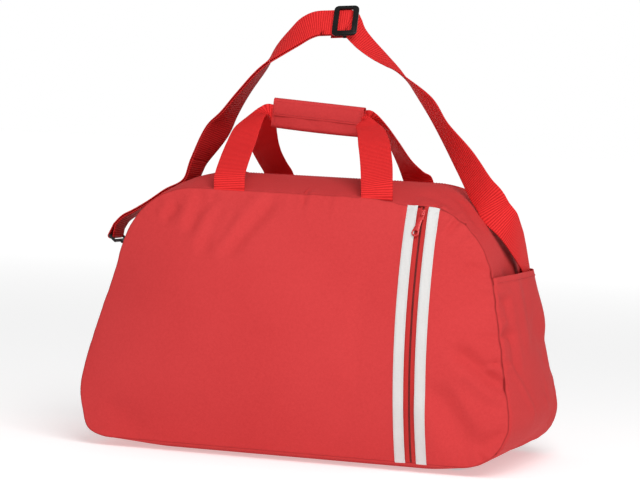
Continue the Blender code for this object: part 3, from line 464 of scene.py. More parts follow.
def swept(name, spine, across, profile, breadths=1.0, loop=False, capped=True, faces=None):
    """A closed profile of (width, height) places carried along a spine, its width following across.
    Painted shade darkens the profile's lower side where faces is 1, and its upper side where it is -1."""
    spine = np.asarray(spine, float)
    across = np.broadcast_to(np.asarray(across, float), spine.shape)
    breadths = np.broadcast_to(breadths, len(spine))
    if loop:
        ahead = unit(np.roll(spine, -1, 0) - np.roll(spine, 1, 0))
        closed = [np.concatenate([v, v[:1]]) for v in (spine, ahead, across, breadths)]
        spine, ahead, across, breadths = closed
    else:
        ahead = unit(np.gradient(spine, axis=0))
    height = unit(np.cross(across, ahead))
    ring = np.vstack([profile, profile[:1]])
    wide = ring[None, :, :1] * breadths[:, None, None]
    points = spine[:, None] + across[:, None] * wide + height[:, None] * ring[None, :, 1:]
    uv = np.stack(np.broadcast_arrays(wide[..., 0], lengths_along(spine)[:, None]), -1)
    piece = lay_grid(name, points, uv)
    if faces is not None:
        # Painted shade on one side of the webbing, read by its finish.
        mark(piece, "reverse", np.clip(0.5 - faces[:, None] * ring[:, 1] / ring[:, 1].max(), 0.0, 1.0))
    bpy.ops.object.mode_set(mode="EDIT")
    bpy.ops.mesh.select_all(action="SELECT")
    bpy.ops.mesh.remove_doubles(threshold=WELD)
    if capped and not loop:
        bpy.ops.mesh.fill_holes(sides=0)
    bpy.ops.mesh.select_all(action="SELECT")
    bpy.ops.mesh.normals_make_consistent(inside=False)
    bpy.ops.object.mode_set(mode="OBJECT")
    return piece


def rounded_profile(half_wide, half_high, radius, steps=3, flats=5):
    """Places round a rounded rectangle, with extra places along its two long sides."""
    places = []
    for quarter, (sx, sy) in enumerate(((1, 1), (-1, 1), (-1, -1), (1, -1))):
        for step in range(steps + 1):
            angle = (quarter + step / steps) * math.pi / 2
            places.append((sx * (half_wide - radius) + radius * math.cos(angle),
                           sy * (half_high - radius) + radius * math.sin(angle)))
        if quarter in (0, 2):
            reach = (half_wide - radius) * sx
            places += [(reach * (1 - 2 * k / flats), places[-1][1]) for k in range(1, flats)]
    return np.array(places)


def round_profile(radius, count=14):
    turn = np.linspace(0.0, math.tau, count, endpoint=False)
    return radius * np.stack([np.cos(turn), np.sin(turn)], 1)


def settle(piece, finish, body=None, nodes=()):
    """Give the piece its finish, its body and the CAD nodes that it stands for."""
    piece.data.materials.clear()
    piece.data.materials.append(finish.material)
    if body:
        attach(piece, body)
    if nodes:
        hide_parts(*nodes)
    return piece


def ease(t):
    """A smooth step from 0 to 1."""
    t = np.clip(t, 0.0, 1.0)
    return t * t * (3 - 2 * t)


def past(value, start, run):
    """A smooth step that begins at the start and is complete a run further on."""
    return ease((value - start) / run)


def crowded(count, pull=0.6):
    """Shares from 0 to 1 that lie closer together near both ends."""
    t = np.linspace(0.0, 1.0, count)
    return (1 - pull) * t + pull * (1 - np.cos(math.pi * t)) / 2


print("helpers ready")

# %% [markdown]
# ## The D-shaped seam
# Front and back are cut to the same D, and a long gusset is sewn between them. Everything on the body is
# measured along that seam, from the middle of the bottom, so it comes first: two corners, two leaning
# sides, two broad shoulders and a flat top.

# %% Seam outline
PANEL_WIDTH, BODY_DEPTH = 0.520, 0.280
SEAM_TOP, SEAM_BOTTOM = 0.316, 0.010
CORNER_R, SHOULDER_R, SIDE_LEAN = 0.056, 0.105, math.radians(10.0)
FABRIC, GAP, CLOTH = 0.002, 0.0003, 0.0014
TOP_CROWN, END_CROWN = 0.018, 0.002
CORNER_X, CORNER_Z = PANEL_WIDTH / 2 - CORNER_R, SEAM_BOTTOM + CORNER_R
SIDE_FOOT_X = CORNER_X + CORNER_R * math.cos(SIDE_LEAN)
SIDE_FOOT_Z = CORNER_Z + CORNER_R * math.sin(SIDE_LEAN)
SHOULDER_Z = SEAM_TOP - SHOULDER_R
SIDE_HEAD_Z = SHOULDER_Z + SHOULDER_R * math.sin(SIDE_LEAN)
SIDE_LENGTH = (SIDE_HEAD_Z - SIDE_FOOT_Z) / math.cos(SIDE_LEAN)
TOP_HALF = SIDE_FOOT_X - SIDE_LENGTH * math.sin(SIDE_LEAN) - SHOULDER_R * math.cos(SIDE_LEAN)
S_BOTTOM = CORNER_X
S_CORNER = S_BOTTOM + CORNER_R * (math.pi / 2 + SIDE_LEAN)
S_SIDE = S_CORNER + SIDE_LENGTH
S_SHOULDER = S_SIDE + SHOULDER_R * (math.pi / 2 - SIDE_LEAN)
S_TOP = S_SHOULDER + TOP_HALF
S_CORNER_MID, S_SHOULDER_MID = (S_BOTTOM + S_CORNER) / 2, (S_SIDE + S_SHOULDER) / 2
GUSSET_HALF = BODY_DEPTH / 2 - FABRIC - GAP


def seam_line(s):
    """X, Z and the outward normal's X, Z, s metres along the seam from the bottom middle, signed."""
    s = np.asarray(s, float)
    side, a = np.where(s < 0, -1.0, 1.0), np.abs(s)
    stretch = [a <= S_BOTTOM, a <= S_CORNER, a <= S_SIDE, a <= S_SHOULDER]
    angle = np.select(stretch, [-math.pi / 2 + 0 * a, -math.pi / 2 + (a - S_BOTTOM) / CORNER_R,
                                SIDE_LEAN + 0 * a, SIDE_LEAN + (a - S_SIDE) / SHOULDER_R], math.pi / 2)
    nx, nz = np.cos(angle), np.sin(angle)
    up_side = a - S_CORNER
    x = np.select(stretch, [a, CORNER_X + CORNER_R * nx, SIDE_FOOT_X - up_side * math.sin(SIDE_LEAN),
                            TOP_HALF + SHOULDER_R * nx], TOP_HALF - (a - S_SHOULDER))
    z = np.select(stretch, [SEAM_BOTTOM + 0 * a, CORNER_Z + CORNER_R * nz,
                            SIDE_FOOT_Z + up_side * math.cos(SIDE_LEAN), SHOULDER_Z + SHOULDER_R * nz],
                  SEAM_TOP)
    return side * x, z, side * nx, nz


def seam_out(s):
    """The outward normal along the seam, as vectors."""
    _, _, nx, nz = seam_line(s)
    return np.stack([nx, 0 * nx, nz], -1)


def seam_over(x):
    """Seam length at which the top or shoulder stands over x."""
    if x <= TOP_HALF:
        return S_TOP - x
    return S_SIDE + (math.acos((x - TOP_HALF) / SHOULDER_R) - SIDE_LEAN) * SHOULDER_R


def seam_at_height(z):
    """Seam length at which the side or shoulder reaches a height."""
    if z <= SIDE_HEAD_Z:
        return S_CORNER + (z - SIDE_FOOT_Z) / math.cos(SIDE_LEAN)
    return S_SIDE + (math.asin((z - SHOULDER_Z) / SHOULDER_R) - SIDE_LEAN) * SHOULDER_R


def roof(x):
    return float(seam_line(seam_over(x))[1])


def half_width(z):
    drop = np.clip((z - CORNER_Z) / CORNER_R, -1.0, 1.0)
    rise = np.clip((z - SHOULDER_Z) / SHOULDER_R, -1.0, 1.0)
    corner = CORNER_X + CORNER_R * np.sqrt(1 - drop ** 2)
    side = SIDE_FOOT_X - (z - SIDE_FOOT_Z) * math.tan(SIDE_LEAN)
    shoulder = TOP_HALF + SHOULDER_R * np.sqrt(1 - rise ** 2)
    return np.select([z <= SIDE_FOOT_Z, z <= SIDE_HEAD_Z], [corner, side], shoulder)


SEAM_SAMPLES = np.linspace(-S_TOP, S_TOP, 4001)
seam_tree = KDTree(len(SEAM_SAMPLES))
for index, (x, z) in enumerate(zip(*seam_line(SEAM_SAMPLES)[:2])):
    seam_tree.insert((x, 0.0, z), index)
seam_tree.balance()


def from_seam(x, z):
    """How far each place lies from the seam, and the seam length nearest to it."""
    found = [seam_tree.find((a, 0.0, b)) for a, b in zip(x.ravel(), z.ravel())]
    far = np.array([f[2] for f in found]).reshape(x.shape)
    near = SEAM_SAMPLES[[f[1] for f in found]].reshape(x.shape)
    return far, near


print("seam length", round(2 * S_TOP, 4))

# %% [markdown]
# ## How the bag settles
# A soft bag doesn't stand square. The front of its left end leans in at the shoulder and swells lower
# down, and the back of its right end does the same. Both are sideways moves read from a short list of
# heights, strongest at the ends and nothing in the middle. The top seam also sags a little over the
# pocket's zip.

# %% Settling
LEFT_SETTLE = (
    (-0.010, -0.022), (0.012, -0.022), (0.030, -0.012), (0.050, -0.006), (0.100, -0.006),
    (0.160, 0.000), (0.205, 0.006), (0.240, 0.008), (0.280, 0.006), (0.340, 0.000),
)
RIGHT_SETTLE = (
    (-0.010, 0.007), (0.030, 0.010), (0.058, 0.006), (0.090, 0.001), (0.140, -0.003), (0.180, -0.006),
    (0.211, -0.015), (0.226, -0.019), (0.242, -0.021), (0.275, -0.010), (0.340, 0.000),
)
DIP, DIP_X, DIP_HALF, DIP_LEAN = 0.006, 0.130, 0.030, 3.1


def smooth_route(points, steps):
    """Points along a smooth curve through given places, with steps to each stretch."""
    points = np.asarray(points, float)
    places = np.vstack([2 * points[0] - points[1], points, 2 * points[-1] - points[-2]])
    t = (np.arange(steps) / steps)[:, None]
    stretches = [0.5 * (2 * b + (c - a) * t + (2 * a - 5 * b + 4 * c - d) * t ** 2
                        + (3 * b - a - 3 * c + d) * t ** 3)
                 for a, b, c, d in zip(places, places[1:], places[2:], places[3:])]
    return np.vstack(stretches + [points[-1:]])


def sewn_dip(points):
    """The top seam sags a little where the pocket's zip pulls on it, down along the slope of the front."""
    x, y, z = np.moveaxis(points, -1, 0)
    near = np.exp(-((x - DIP_X) / DIP_HALF) ** 2) * past(z, 0.24, 0.07) * past(-y, 0.06, 0.07)
    forward = DIP_LEAN * (z - (SEAM_TOP + SEAM_BOTTOM) / 2)
    return points - DIP * np.stack([0 * x, near * forward, near], -1)


def settled(points):
    """The points after the ends have leaned: the left end's front and the right end's back."""
    x, y, z = np.moveaxis(points, -1, 0)
    left, right = (np.interp(z, *smooth_route(table, 12).T) for table in (LEFT_SETTLE, RIGHT_SETTLE))
    left = left * past(-x, 0.14, 0.10) * past(-y, 0.01, 0.07)
    right = right * past(x, 0.16, 0.06) * past(y, 0.0, 0.10)
    return sewn_dip(points + np.stack([left + right, 0 * x, 0 * x], -1))


print("ends move", [max(abs(dx) for _, dx in table) for table in (LEFT_SETTLE, RIGHT_SETTLE)], "m at most")

# %% [markdown]
# ## How sewn cloth behaves at a seam
# A plain seam pulls both edges inwards, so each panel rolls over into a narrow groove, and the stitching
# gathers the cloth into small uneven puckers that die out within a few centimetres. Longer folds cross
# the panels where the bag is slack. All three are heights added to the smooth surface. The seam's own
# line strays a little too.

# %% Seam roll, puckers and folds
ROLL_SINK, ROLL_REACH = 0.0013, 0.0042
PUCKER_REACH = 0.006
PUCKER_HIGH = {"front": 0.0015, "back": 0.0014, "gusset": 0.0017, "pocket": 0.0016}
PUCKER_WAVES = ((0.50, 0.0160, 0.6), (0.32, 0.0105, 2.1), (0.45, 0.0260, 4.0))
PUCKER_SWELL = ((0.45, 0.183, 1.3),)
SEAM_STRAY, STRAY_REACH = 0.00035, 0.012
STRAY_WAVES = ((1.0, 0.031, 1.0), (0.6, 0.019, 2.4))


def edge_roll(d):
    """How far the cloth sinks at d metres from its seam."""
    left = 1 - np.clip(d / ROLL_REACH, 0.0, 1.0)
    return ROLL_SINK * (1 - np.sqrt(1 - left ** 2))


def gathered(s):
    """How strongly the seam is gathered: most up the right end, little along the bottom and the left."""
    return 0.3 + 0.7 * past(s, S_BOTTOM, 0.05)


def waves(s, table):
    """A sum of sines along the seam: each row has a height, a wavelength and a shift."""
    return sum(height * np.sin(s * math.tau / length + shift) for height, length, shift in table)


def pucker(s, d, height):
    """Small uneven gathers, highest a little way in from the seam."""
    strong = 0.55 + waves(s, PUCKER_SWELL)
    deep = d / PUCKER_REACH
    return height * gathered(s) * waves(s, PUCKER_WAVES) * strong * deep * np.exp(1 - deep)


def wander(s, d):
    """How far a sewn seam strays from its line, dying out away from it."""
    return SEAM_STRAY * gathered(s) * waves(s, STRAY_WAVES) * np.exp(-d / STRAY_REACH)


def folds(a, b, table):
    """Soft folds: each row has two ends in the panel's own axes, a half width and a height."""
    total = np.zeros(np.broadcast(a, b).shape)
    for a0, b0, a1, b1, half, height in table:
        run = math.hypot(a1 - a0, b1 - b0)
        t = ((a - a0) * (a1 - a0) + (b - b0) * (b1 - b0)) / run ** 2
        off = ((a - a0) * (b1 - b0) - (b - b0) * (a1 - a0)) / (run * half)
        fade = ease((1 - np.abs(2 * t - 1)) / 0.6 + 0.25)
        total += height * fade * (np.exp(-off ** 2) - 0.5 * np.exp(-(off - 1.7) ** 2))
    return total


print("seam groove", ROLL_SINK * 1000, "mm deep")

# %% [markdown]
# ## Front cloth
# The front is pillowed by the padding behind it, fullest along the pocket's zip. It is two panels, left
# and right of the zip. Each is filled in between four edge paths, so its rim follows the seam exactly.

# %% Front surface
POCKET_ZIP_X = PANEL_WIDTH / 2 - 0.113
ZIP_SLOT_HALF, ZIP_TAPE_HALF, ZIP_BULGE = 0.007, 0.015, 0.035
ZIP_TOP = roof(POCKET_ZIP_X)
ZIP_MIDDLE, ZIP_HALF = (ZIP_TOP + SEAM_BOTTOM) / 2, (ZIP_TOP - SEAM_BOTTOM) / 2
ZIP_ARC_R = (ZIP_HALF ** 2 + ZIP_BULGE ** 2) / (2 * ZIP_BULGE)
FRONT_FOLDS = (
    (-0.150, 0.296, -0.168, 0.274, 0.007, -0.0030),
    (-0.120, 0.312, -0.132, 0.262, 0.008, -0.0036),
    (-0.104, 0.310, -0.118, 0.286, 0.006, -0.0022),
    (-0.091, 0.300, -0.112, 0.236, 0.009, -0.0034),
    (-0.076, 0.292, -0.094, 0.250, 0.007, -0.0026),
    (-0.030, 0.312, -0.084, 0.236, 0.009, -0.0042),
    (0.090, 0.250, 0.083, 0.080, 0.010, -0.0010),
    (0.194, 0.154, 0.260, 0.098, 0.010, -0.0066),
    (0.204, 0.129, 0.260, 0.088, 0.008, 0.0022),
    (0.236, 0.138, 0.260, 0.127, 0.005, -0.0022),
    (0.180, 0.108, 0.217, 0.026, 0.017, -0.0060),
    (0.178, 0.128, 0.242, 0.048, 0.012, 0.0020),
    (0.224, 0.034, 0.258, 0.056, 0.008, -0.0032),
    (0.168, 0.312, 0.159, 0.278, 0.006, -0.0024),
    (0.192, 0.300, 0.180, 0.278, 0.006, -0.0020),
    (0.198, 0.246, 0.242, 0.230, 0.008, -0.0034),
    (0.185, 0.192, 0.242, 0.208, 0.010, -0.0018),
    (-0.226, 0.060, -0.168, 0.016, 0.014, -0.0018),
)


def zip_arc(z):
    """How far the front stands out along its zip."""
    rise = ZIP_ARC_R ** 2 - (z - ZIP_MIDDLE) ** 2
    return np.maximum(0.0, np.sqrt(np.maximum(rise, 0.0)) - (ZIP_ARC_R - ZIP_BULGE))


def front_bulge(x, z):
    """How far the front stands out of its flat cut, falling from the zip to the seam."""
    reach = half_width(z)
    right = np.clip((x - POCKET_ZIP_X) / np.maximum(reach - POCKET_ZIP_X, FABRIC), 0.0, 1.0)
    left = np.clip((POCKET_ZIP_X - x) / (POCKET_ZIP_X + reach), 0.0, 1.0)
    return zip_arc(z) * np.where(x >= POCKET_ZIP_X, 1 - right ** 2, 1 + 3 * left ** 2 - 4 * left ** 3)


def front_smooth(x, z, lift=0.0):
    """The front without its small folds, moved out by lift."""
    step = 0.001
    slope_x = (front_bulge(x + step, z) - front_bulge(x - step, z)) / (2 * step)
    slope_z = (front_bulge(x, z + step) - front_bulge(x, z - step)) / (2 * step)
    normal = -unit(np.stack([slope_x, np.ones_like(slope_x), slope_z], -1))
    smooth = np.stack([x, -BODY_DEPTH / 2 - front_bulge(x, z), z], -1) + normal * np.expand_dims(lift, -1)
    return settled(smooth)


def front_surface(x, z, lift=0.0):
    """The front with its puckers, folds, seam roll and stray, moved out by lift."""
    d, s = from_seam(x, z)
    relief = pucker(s, d, PUCKER_HIGH["front"]) + folds(x, z, FRONT_FOLDS) - edge_roll(d)
    return front_smooth(x, z, relief + lift) + seam_out(s) * wander(s, d)[..., None]


def forwards(centres):
    return np.array([0.0, -1.0, 0.0])


def backwards(centres):
    return np.array([0.0, 1.0, 0.0])


def seam_path(start, end, inset=0.0):
    """A path along the seam, set in from it by inset."""
    def path(t):
        x, z, nx, nz = seam_line(start + (end - start) * t)
        return np.stack([x - nx * inset, z - nz * inset], -1)
    return path


def top_path(x_start, x_end):
    """A path along the top seam from one X to another."""
    start, end = (math.copysign(S_TOP - seam_over(abs(x)), x) for x in (x_start, x_end))

    def path(t):
        along = start + (end - start) * t
        return np.stack(seam_line(np.where(along < 0, -1.0, 1.0) * (S_TOP - np.abs(along)))[:2], -1)
    return path


def straight(start, end):
    return lambda t: np.array(start) + (np.array(end) - np.array(start)) * t[:, None]


def filled(left, right, bottom, top, us, vs):
    """Rows of (x, z) places filled in between four edge paths."""
    u, v = us[None, :, None], vs[:, None, None]
    low, high = bottom(us)[None], top(us)[None]
    corners = ((1 - u) * (1 - v) * low[:, :1] + u * (1 - v) * low[:, -1:]
               + (1 - u) * v * high[:, :1] + u * v * high[:, -1:])
    return (1 - v) * low + v * high + (1 - u) * left(vs)[:, None] + u * right(vs)[:, None] - corners


def lay_front(name, x_grid, z_grid, points):
    """A sheet laid on points of the front, with a UV map that runs across and up it."""
    return lay_grid(name, points, np.stack([x_grid, z_grid], -1), forwards)


def sewn_panel(name, places, surface, outward, node):
    """A panel of the body's cloth over the places, with painted shade along its seam."""
    x, z = np.moveaxis(places, -1, 0)
    piece = lay_grid(name, surface(x, z), places, outward)
    mark_seam_shade(piece, from_seam(x, z)[0])
    return settle(thicken(declare_cut(piece), CLOTH), red_polyester, "bag", [node])


print("front stands out", ZIP_BULGE * 1000, "mm along its zip")

# %% [markdown]
# ## The two front panels
# Each runs from the seam to the lip of the zip's slot. Its places crowd towards the edges, where the roll
# of the seam needs them.

# %% Front cloth
SHOULDER_X = float(seam_line(S_SHOULDER_MID)[0])
lip_left, lip_right = POCKET_ZIP_X - ZIP_SLOT_HALF, POCKET_ZIP_X + ZIP_SLOT_HALF
left_edge, right_edge = (straight((lip, SEAM_BOTTOM), (lip, roof(lip))) for lip in (lip_left, lip_right))
places = filled(seam_path(-S_CORNER_MID, -S_SHOULDER_MID), left_edge, seam_path(-S_CORNER_MID, lip_left),
                top_path(-SHOULDER_X, lip_left), crowded(130), crowded(110))
front_cloth_left = sewn_panel("front_cloth_left", places, front_surface, forwards, "front_panel_left")
places = filled(right_edge, seam_path(S_CORNER_MID, S_SHOULDER_MID), seam_path(lip_right, S_CORNER_MID),
                top_path(lip_right, SHOULDER_X), crowded(70), crowded(140))
front_cloth_right = sewn_panel("front_cloth_right", places, front_surface, forwards, "front_panel_right")
print("front cloth", len(front_cloth_left.data.polygons) + len(front_cloth_right.data.polygons), "faces")

# %% [markdown]
# ## Back cloth and pocket lining
# The back is one plain D, a little less full than the front. A thin lining lies behind the front panels
# and makes the front pocket.

# %% Back cloth and lining
BACK_BULGE = 0.030
LINING_LIFT, LINING_T, LINING_DROP = -0.0040, 0.0006, 0.014
BACK_FOLDS = (
    (-0.185, 0.125, -0.258, 0.040, 0.014, -0.0042),
    (-0.215, 0.085, -0.240, 0.024, 0.009, -0.0028),
    (0.180, 0.135, 0.258, 0.050, 0.016, -0.0044),
    (0.205, 0.085, 0.246, 0.028, 0.010, -0.0030),
    (-0.165, 0.300, -0.105, 0.222, 0.010, -0.0038),
    (-0.060, 0.312, -0.030, 0.246, 0.009, -0.0032),
    (0.120, 0.308, 0.052, 0.218, 0.010, -0.0040),
    (0.172, 0.288, 0.138, 0.250, 0.008, -0.0028),
    (-0.100, 0.062, 0.050, 0.022, 0.016, -0.0028),
    (0.020, 0.236, 0.105, 0.100, 0.022, -0.0024),
)


def back_surface(x, z):
    """The back: a flatter pillow with folds of its own."""
    across = np.clip(np.abs(x) / half_width(z), 0.0, 1.0)
    up = np.clip(np.abs(z - (SEAM_TOP + SEAM_BOTTOM) / 2) / ((SEAM_TOP - SEAM_BOTTOM) / 2), 0.0, 1.0)
    d, s = from_seam(x, z)
    relief = pucker(s + 0.07, d, PUCKER_HIGH["back"]) + folds(x, z, BACK_FOLDS) - edge_roll(d)
    out = BODY_DEPTH / 2 + BACK_BULGE * (1 - across ** 2) * (1 - up ** 2) + relief
    return settled(np.stack([x, out, z], -1))


places = filled(seam_path(-S_CORNER_MID, -S_SHOULDER_MID), seam_path(S_CORNER_MID, S_SHOULDER_MID),
                seam_path(-S_CORNER_MID, S_CORNER_MID), top_path(-SHOULDER_X, SHOULDER_X),
                crowded(130), crowded(90))
back_cloth = sewn_panel("back_cloth", places, back_surface, backwards, "back_panel")

lining_top = seam_at_height(SEAM_TOP - LINING_DROP)
inset = FABRIC + 2 * GAP
left, right = seam_path(-S_CORNER_MID, -lining_top, inset), seam_path(S_CORNER_MID, lining_top, inset)
ends = np.array([1.0])
places = filled(left, right, seam_path(-S_CORNER_MID, S_CORNER_MID, inset),
                straight(left(ends)[0], right(ends)[0]), np.linspace(0, 1, 60), np.linspace(0, 1, 40))
x_grid, z_grid = np.moveaxis(places, -1, 0)
pocket_lining = lay_front("pocket_lining_cloth", x_grid, z_grid,
                          front_smooth(x_grid, z_grid, LINING_LIFT + folds(x_grid, z_grid, FRONT_FOLDS)))
settle(thicken(declare_cut(pocket_lining), LINING_T), lining_cloth, "bag", ["pocket_lining"])
print("back cloth", len(back_cloth.data.polygons), "faces")

# %% [markdown]
# ## Gusset
# One long strip runs under the bottom, up both ends and over the shoulders, sewn to the front and back
# along the D. On the real bag it is several cuts, but it reads as one band. The shoulders have a slot for
# the top zip, cut by deleting faces.

# %% Gusset
FLAP_JOIN = 0.125
CROSS = np.array([0.0, 1.0, 0.0])
END_FOLDS = (
    (0.47, -0.095, 0.36, -0.085, 0.014, 0.0020),
    (0.49, -0.020, 0.40, -0.035, 0.016, 0.0022),
    (0.46, 0.055, 0.37, 0.070, 0.016, 0.0020),
    (0.52, -0.110, 0.56, -0.070, 0.012, -0.0022),
    (0.55, -0.120, 0.60, -0.095, 0.010, -0.0018),
    (-0.47, -0.060, -0.36, -0.050, 0.016, 0.0034),
    (-0.46, 0.050, -0.35, 0.035, 0.016, 0.0036),
    (-0.44, 0.110, -0.36, 0.020, 0.012, -0.0036),
    (-0.36, -0.115, -0.30, -0.020, 0.011, -0.0034),
    (-0.55, -0.110, -0.58, -0.060, 0.012, -0.0026),
    (0.56, 0.100, 0.59, 0.060, 0.012, -0.0018),
    (-0.54, 0.100, -0.58, 0.070, 0.012, -0.0018),
    (0.10, -0.060, -0.05, -0.075, 0.020, 0.0006),
    (-0.02, 0.050, -0.15, 0.062, 0.020, 0.0006),
)


def crown(s, v):
    """How far the gusset stands out from the straight line between the two seams."""
    a = np.abs(s)
    round_ = 1 - v * v
    low = SEAM_BOTTOM * np.minimum(1.0, 1.15 * (1 - np.abs(v) ** 6))
    end = END_CROWN * round_
    lower = low + (end - low) * ease((a - S_BOTTOM + 0.05) / 0.09)
    upper = end + (TOP_CROWN * round_ - end) * past(a, S_SIDE, S_SHOULDER - S_SIDE)
    return np.where(a <= S_SIDE, lower, upper)


def gusset_surface(s, y, lift=0.0, small=1.0):
    """The gusset at s along the seam and y across it; small scales its puckers, folds and seam roll."""
    x, z, nx, nz = seam_line(s)
    d = GUSSET_HALF - np.abs(y)
    grounded = past(np.abs(s), S_BOTTOM, 0.03)
    along = s + np.where(y > 0, 0.05, 0.0)
    relief = pucker(along, d, PUCKER_HIGH["gusset"]) + folds(s, y, END_FOLDS)
    relief = relief * grounded - edge_roll(d)
    out = crown(s, y / GUSSET_HALF) + small * (relief + wander(s, d) * grounded) + lift
    return settled(np.stack(np.broadcast_arrays(x + nx * out, y, z + nz * out), -1))


def from_middle(centres):
    return centres - np.array([0.0, 0.0, SEAM_TOP / 2])


def lay_band(name, s_grid, y_grid, points):
    """A sheet laid on points of the gusset, with a UV map that runs across it and along its seam."""
    return lay_grid(name, points, np.stack([y_grid, s_grid], -1), from_middle)


edge_rows = GUSSET_HALF * (1 - np.array([0.0, 0.004, 0.009, 0.016, 0.024, 0.034, 0.045]))
inner_rows = np.linspace(edge_rows[-1], ZIP_SLOT_HALF, 30)[1:]
half_rows = np.concatenate([edge_rows, inner_rows])
across_rows = np.concatenate([-half_rows, [0.0], half_rows[::-1]])
end_s = seam_over(FLAP_JOIN)
along_rows = np.unique(np.concatenate([np.linspace(-end_s, end_s, 420), [-S_SHOULDER_MID, S_SHOULDER_MID]]))
s_grid, y_grid = np.meshgrid(along_rows, across_rows, indexing="ij")
gusset_cloth = lay_band("gusset_cloth", s_grid, y_grid, gusset_surface(s_grid, y_grid))
# Painted shade along both seam edges of the gusset.
mark_seam_shade(gusset_cloth, GUSSET_HALF - np.abs(y_grid))
beyond = np.abs(along_rows[:-1] + along_rows[1:]) / 2 > S_SHOULDER_MID
within = np.abs(across_rows[:-1] + across_rows[1:]) / 2 < ZIP_SLOT_HALF
slot_face = np.zeros((len(beyond), len(within)), bool)
slot_face[np.ix_(beyond, within)] = True
only(gusset_cloth)
bpy.ops.object.mode_set(mode="EDIT")
bpy.ops.mesh.select_mode(type="FACE")
bpy.ops.mesh.select_all(action="DESELECT")
bpy.ops.object.mode_set(mode="OBJECT")
gusset_cloth.data.polygons.foreach_set("select", slot_face.ravel())
bpy.ops.object.mode_set(mode="EDIT")
bpy.ops.mesh.delete(type="FACE")
bpy.ops.object.mode_set(mode="OBJECT")
settle(thicken(declare_cut(gusset_cloth), CLOTH), red_polyester, "bag",
       ["bottom_panel", "left_end_panel", "right_end_panel", "left_shoulder_front", "left_shoulder_back",
        "right_shoulder_front", "right_shoulder_back"])
print("gusset", len(gusset_cloth.data.polygons), "faces")

# %% [markdown]
# ## Top cloth
# Four quarters of cloth meet the top zip. As the slider runs, the mouth opens like a lens: full at the
# middle, nothing at its ends.

# %% Top cloth
FOLD_START, FOLD_RUN, MOUTH_HALF = 0.085, 0.030, 0.117
MOUTH_SLANT = (FOLD_START - ZIP_SLOT_HALF) / FOLD_RUN / MOUTH_HALF
SIDES = (("left", -1), ("right", 1))
FACES = (("front", -1), ("back", 1))
QUARTERS = [(*face, *side) for face in FACES for side in SIDES]


def fold_in(piece, side, face, face_name):
    """Bake the quarter's transform into its points."""
    start = Vector((0.0, face * FOLD_START, 0.0))
    slope = Vector((-side * MOUTH_SLANT, -face / FOLD_RUN, 0.0))
    "flap_" + face_name
    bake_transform(piece)


def top_rows(side, count):
    """Seam lengths from the middle of the top out to where the gusset begins."""
    return side * (S_TOP - np.linspace(0.0, FLAP_JOIN, count))


for face_name, face, side_name, side in QUARTERS:
    s_grid, y_grid = np.meshgrid(top_rows(side, 42), face * half_rows, indexing="ij")
    quarter = lay_band(f"top_cloth_{face_name}_{side_name}", s_grid, y_grid, gusset_surface(s_grid, y_grid))
    # Painted shade along the quarter's seam edge.
    mark_seam_shade(quarter, GUSSET_HALF - np.abs(y_grid))
    nodes = [f"top_flap_{face_name}", f"top_strip_{face_name}"] if side > 0 else []
    settle(thicken(declare_cut(quarter), CLOTH), red_polyester, None, nodes)
    fold_in(quarter, side, face, face_name)
print("top cloth in four quarters")

# %% [markdown]
# ## Slip pocket
# An open pocket on the right end, sewn in with the side seams. Its mouth is a folded hem, and with nothing
# in it the cloth stands off in soft upright folds.

# %% Slip pocket
HEM_Z, HEM_DEPTH, POCKET_T, POCKET_ROOM = SEAM_TOP - 0.0845, 0.008, 0.0015, 0.0165
POCKET_FOLDS = (
    (0.470, -0.080, 0.360, -0.060, 0.016, 0.0028),
    (0.470, 0.045, 0.370, 0.030, 0.018, 0.0032),
    (0.405, -0.030, 0.345, 0.045, 0.022, -0.0044),
    (0.366, -0.132, 0.284, -0.056, 0.006, 0.0022),
    (0.338, 0.000, 0.292, 0.020, 0.006, 0.0020),
    (0.310, -0.018, 0.282, 0.024, 0.006, 0.0018),
    (0.320, 0.090, 0.278, 0.038, 0.006, 0.0020),
    (0.440, -0.115, 0.340, -0.105, 0.009, -0.0026),
    (0.436, -0.134, 0.430, -0.102, 0.006, -0.0028),
    (0.398, -0.134, 0.388, -0.098, 0.007, -0.0034),
    (0.455, 0.085, 0.435, 0.145, 0.012, -0.0020),
    (0.405, 0.085, 0.400, 0.145, 0.012, 0.0020),
    (0.365, 0.085, 0.350, 0.145, 0.012, -0.0020),
    (0.325, 0.085, 0.310, 0.145, 0.011, 0.0016),
)
pocket_foot = S_BOTTOM + GAP + (S_CORNER - S_BOTTOM - GAP) * 3 / 7
pocket_hem = seam_at_height(HEM_Z)


def pocket_surface(s, y, lift=0.0):
    """The slip pocket over the right end, with some room inside and a thicker hem."""
    v = y / GUSSET_HALF
    room = POCKET_ROOM * past(s, pocket_foot, S_CORNER - pocket_foot) * (1 - v * v)
    hem = 0.0007 * ease((s - pocket_hem + HEM_DEPTH + 0.0005) / 0.001)
    d = GUSSET_HALF - np.abs(y)
    x, z, nx, nz = seam_line(s)
    relief = folds(s, y, POCKET_FOLDS) * ease(d / 0.02 + 0.3)
    relief = relief + pucker(s, d, PUCKER_HIGH["pocket"]) + wander(s, d)
    over = (GAP + POCKET_T) * (0.3 + 0.7 * ease(d / ROLL_REACH)) - 0.8 * edge_roll(d)
    out = crown(s, v) + over + room + hem + relief + lift
    return settled(np.stack(np.broadcast_arrays(x + nx * out, y, z + nz * out), -1))


pocket_rows = np.concatenate([np.linspace(pocket_foot, pocket_hem - HEM_DEPTH - 0.001, 84),
                              pocket_hem - HEM_DEPTH + np.linspace(-0.0005, HEM_DEPTH, 14)])
s_grid, y_grid = np.meshgrid(pocket_rows, across_rows, indexing="ij")
pocket_cloth = lay_band("end_pocket_cloth", s_grid, y_grid, pocket_surface(s_grid, y_grid))
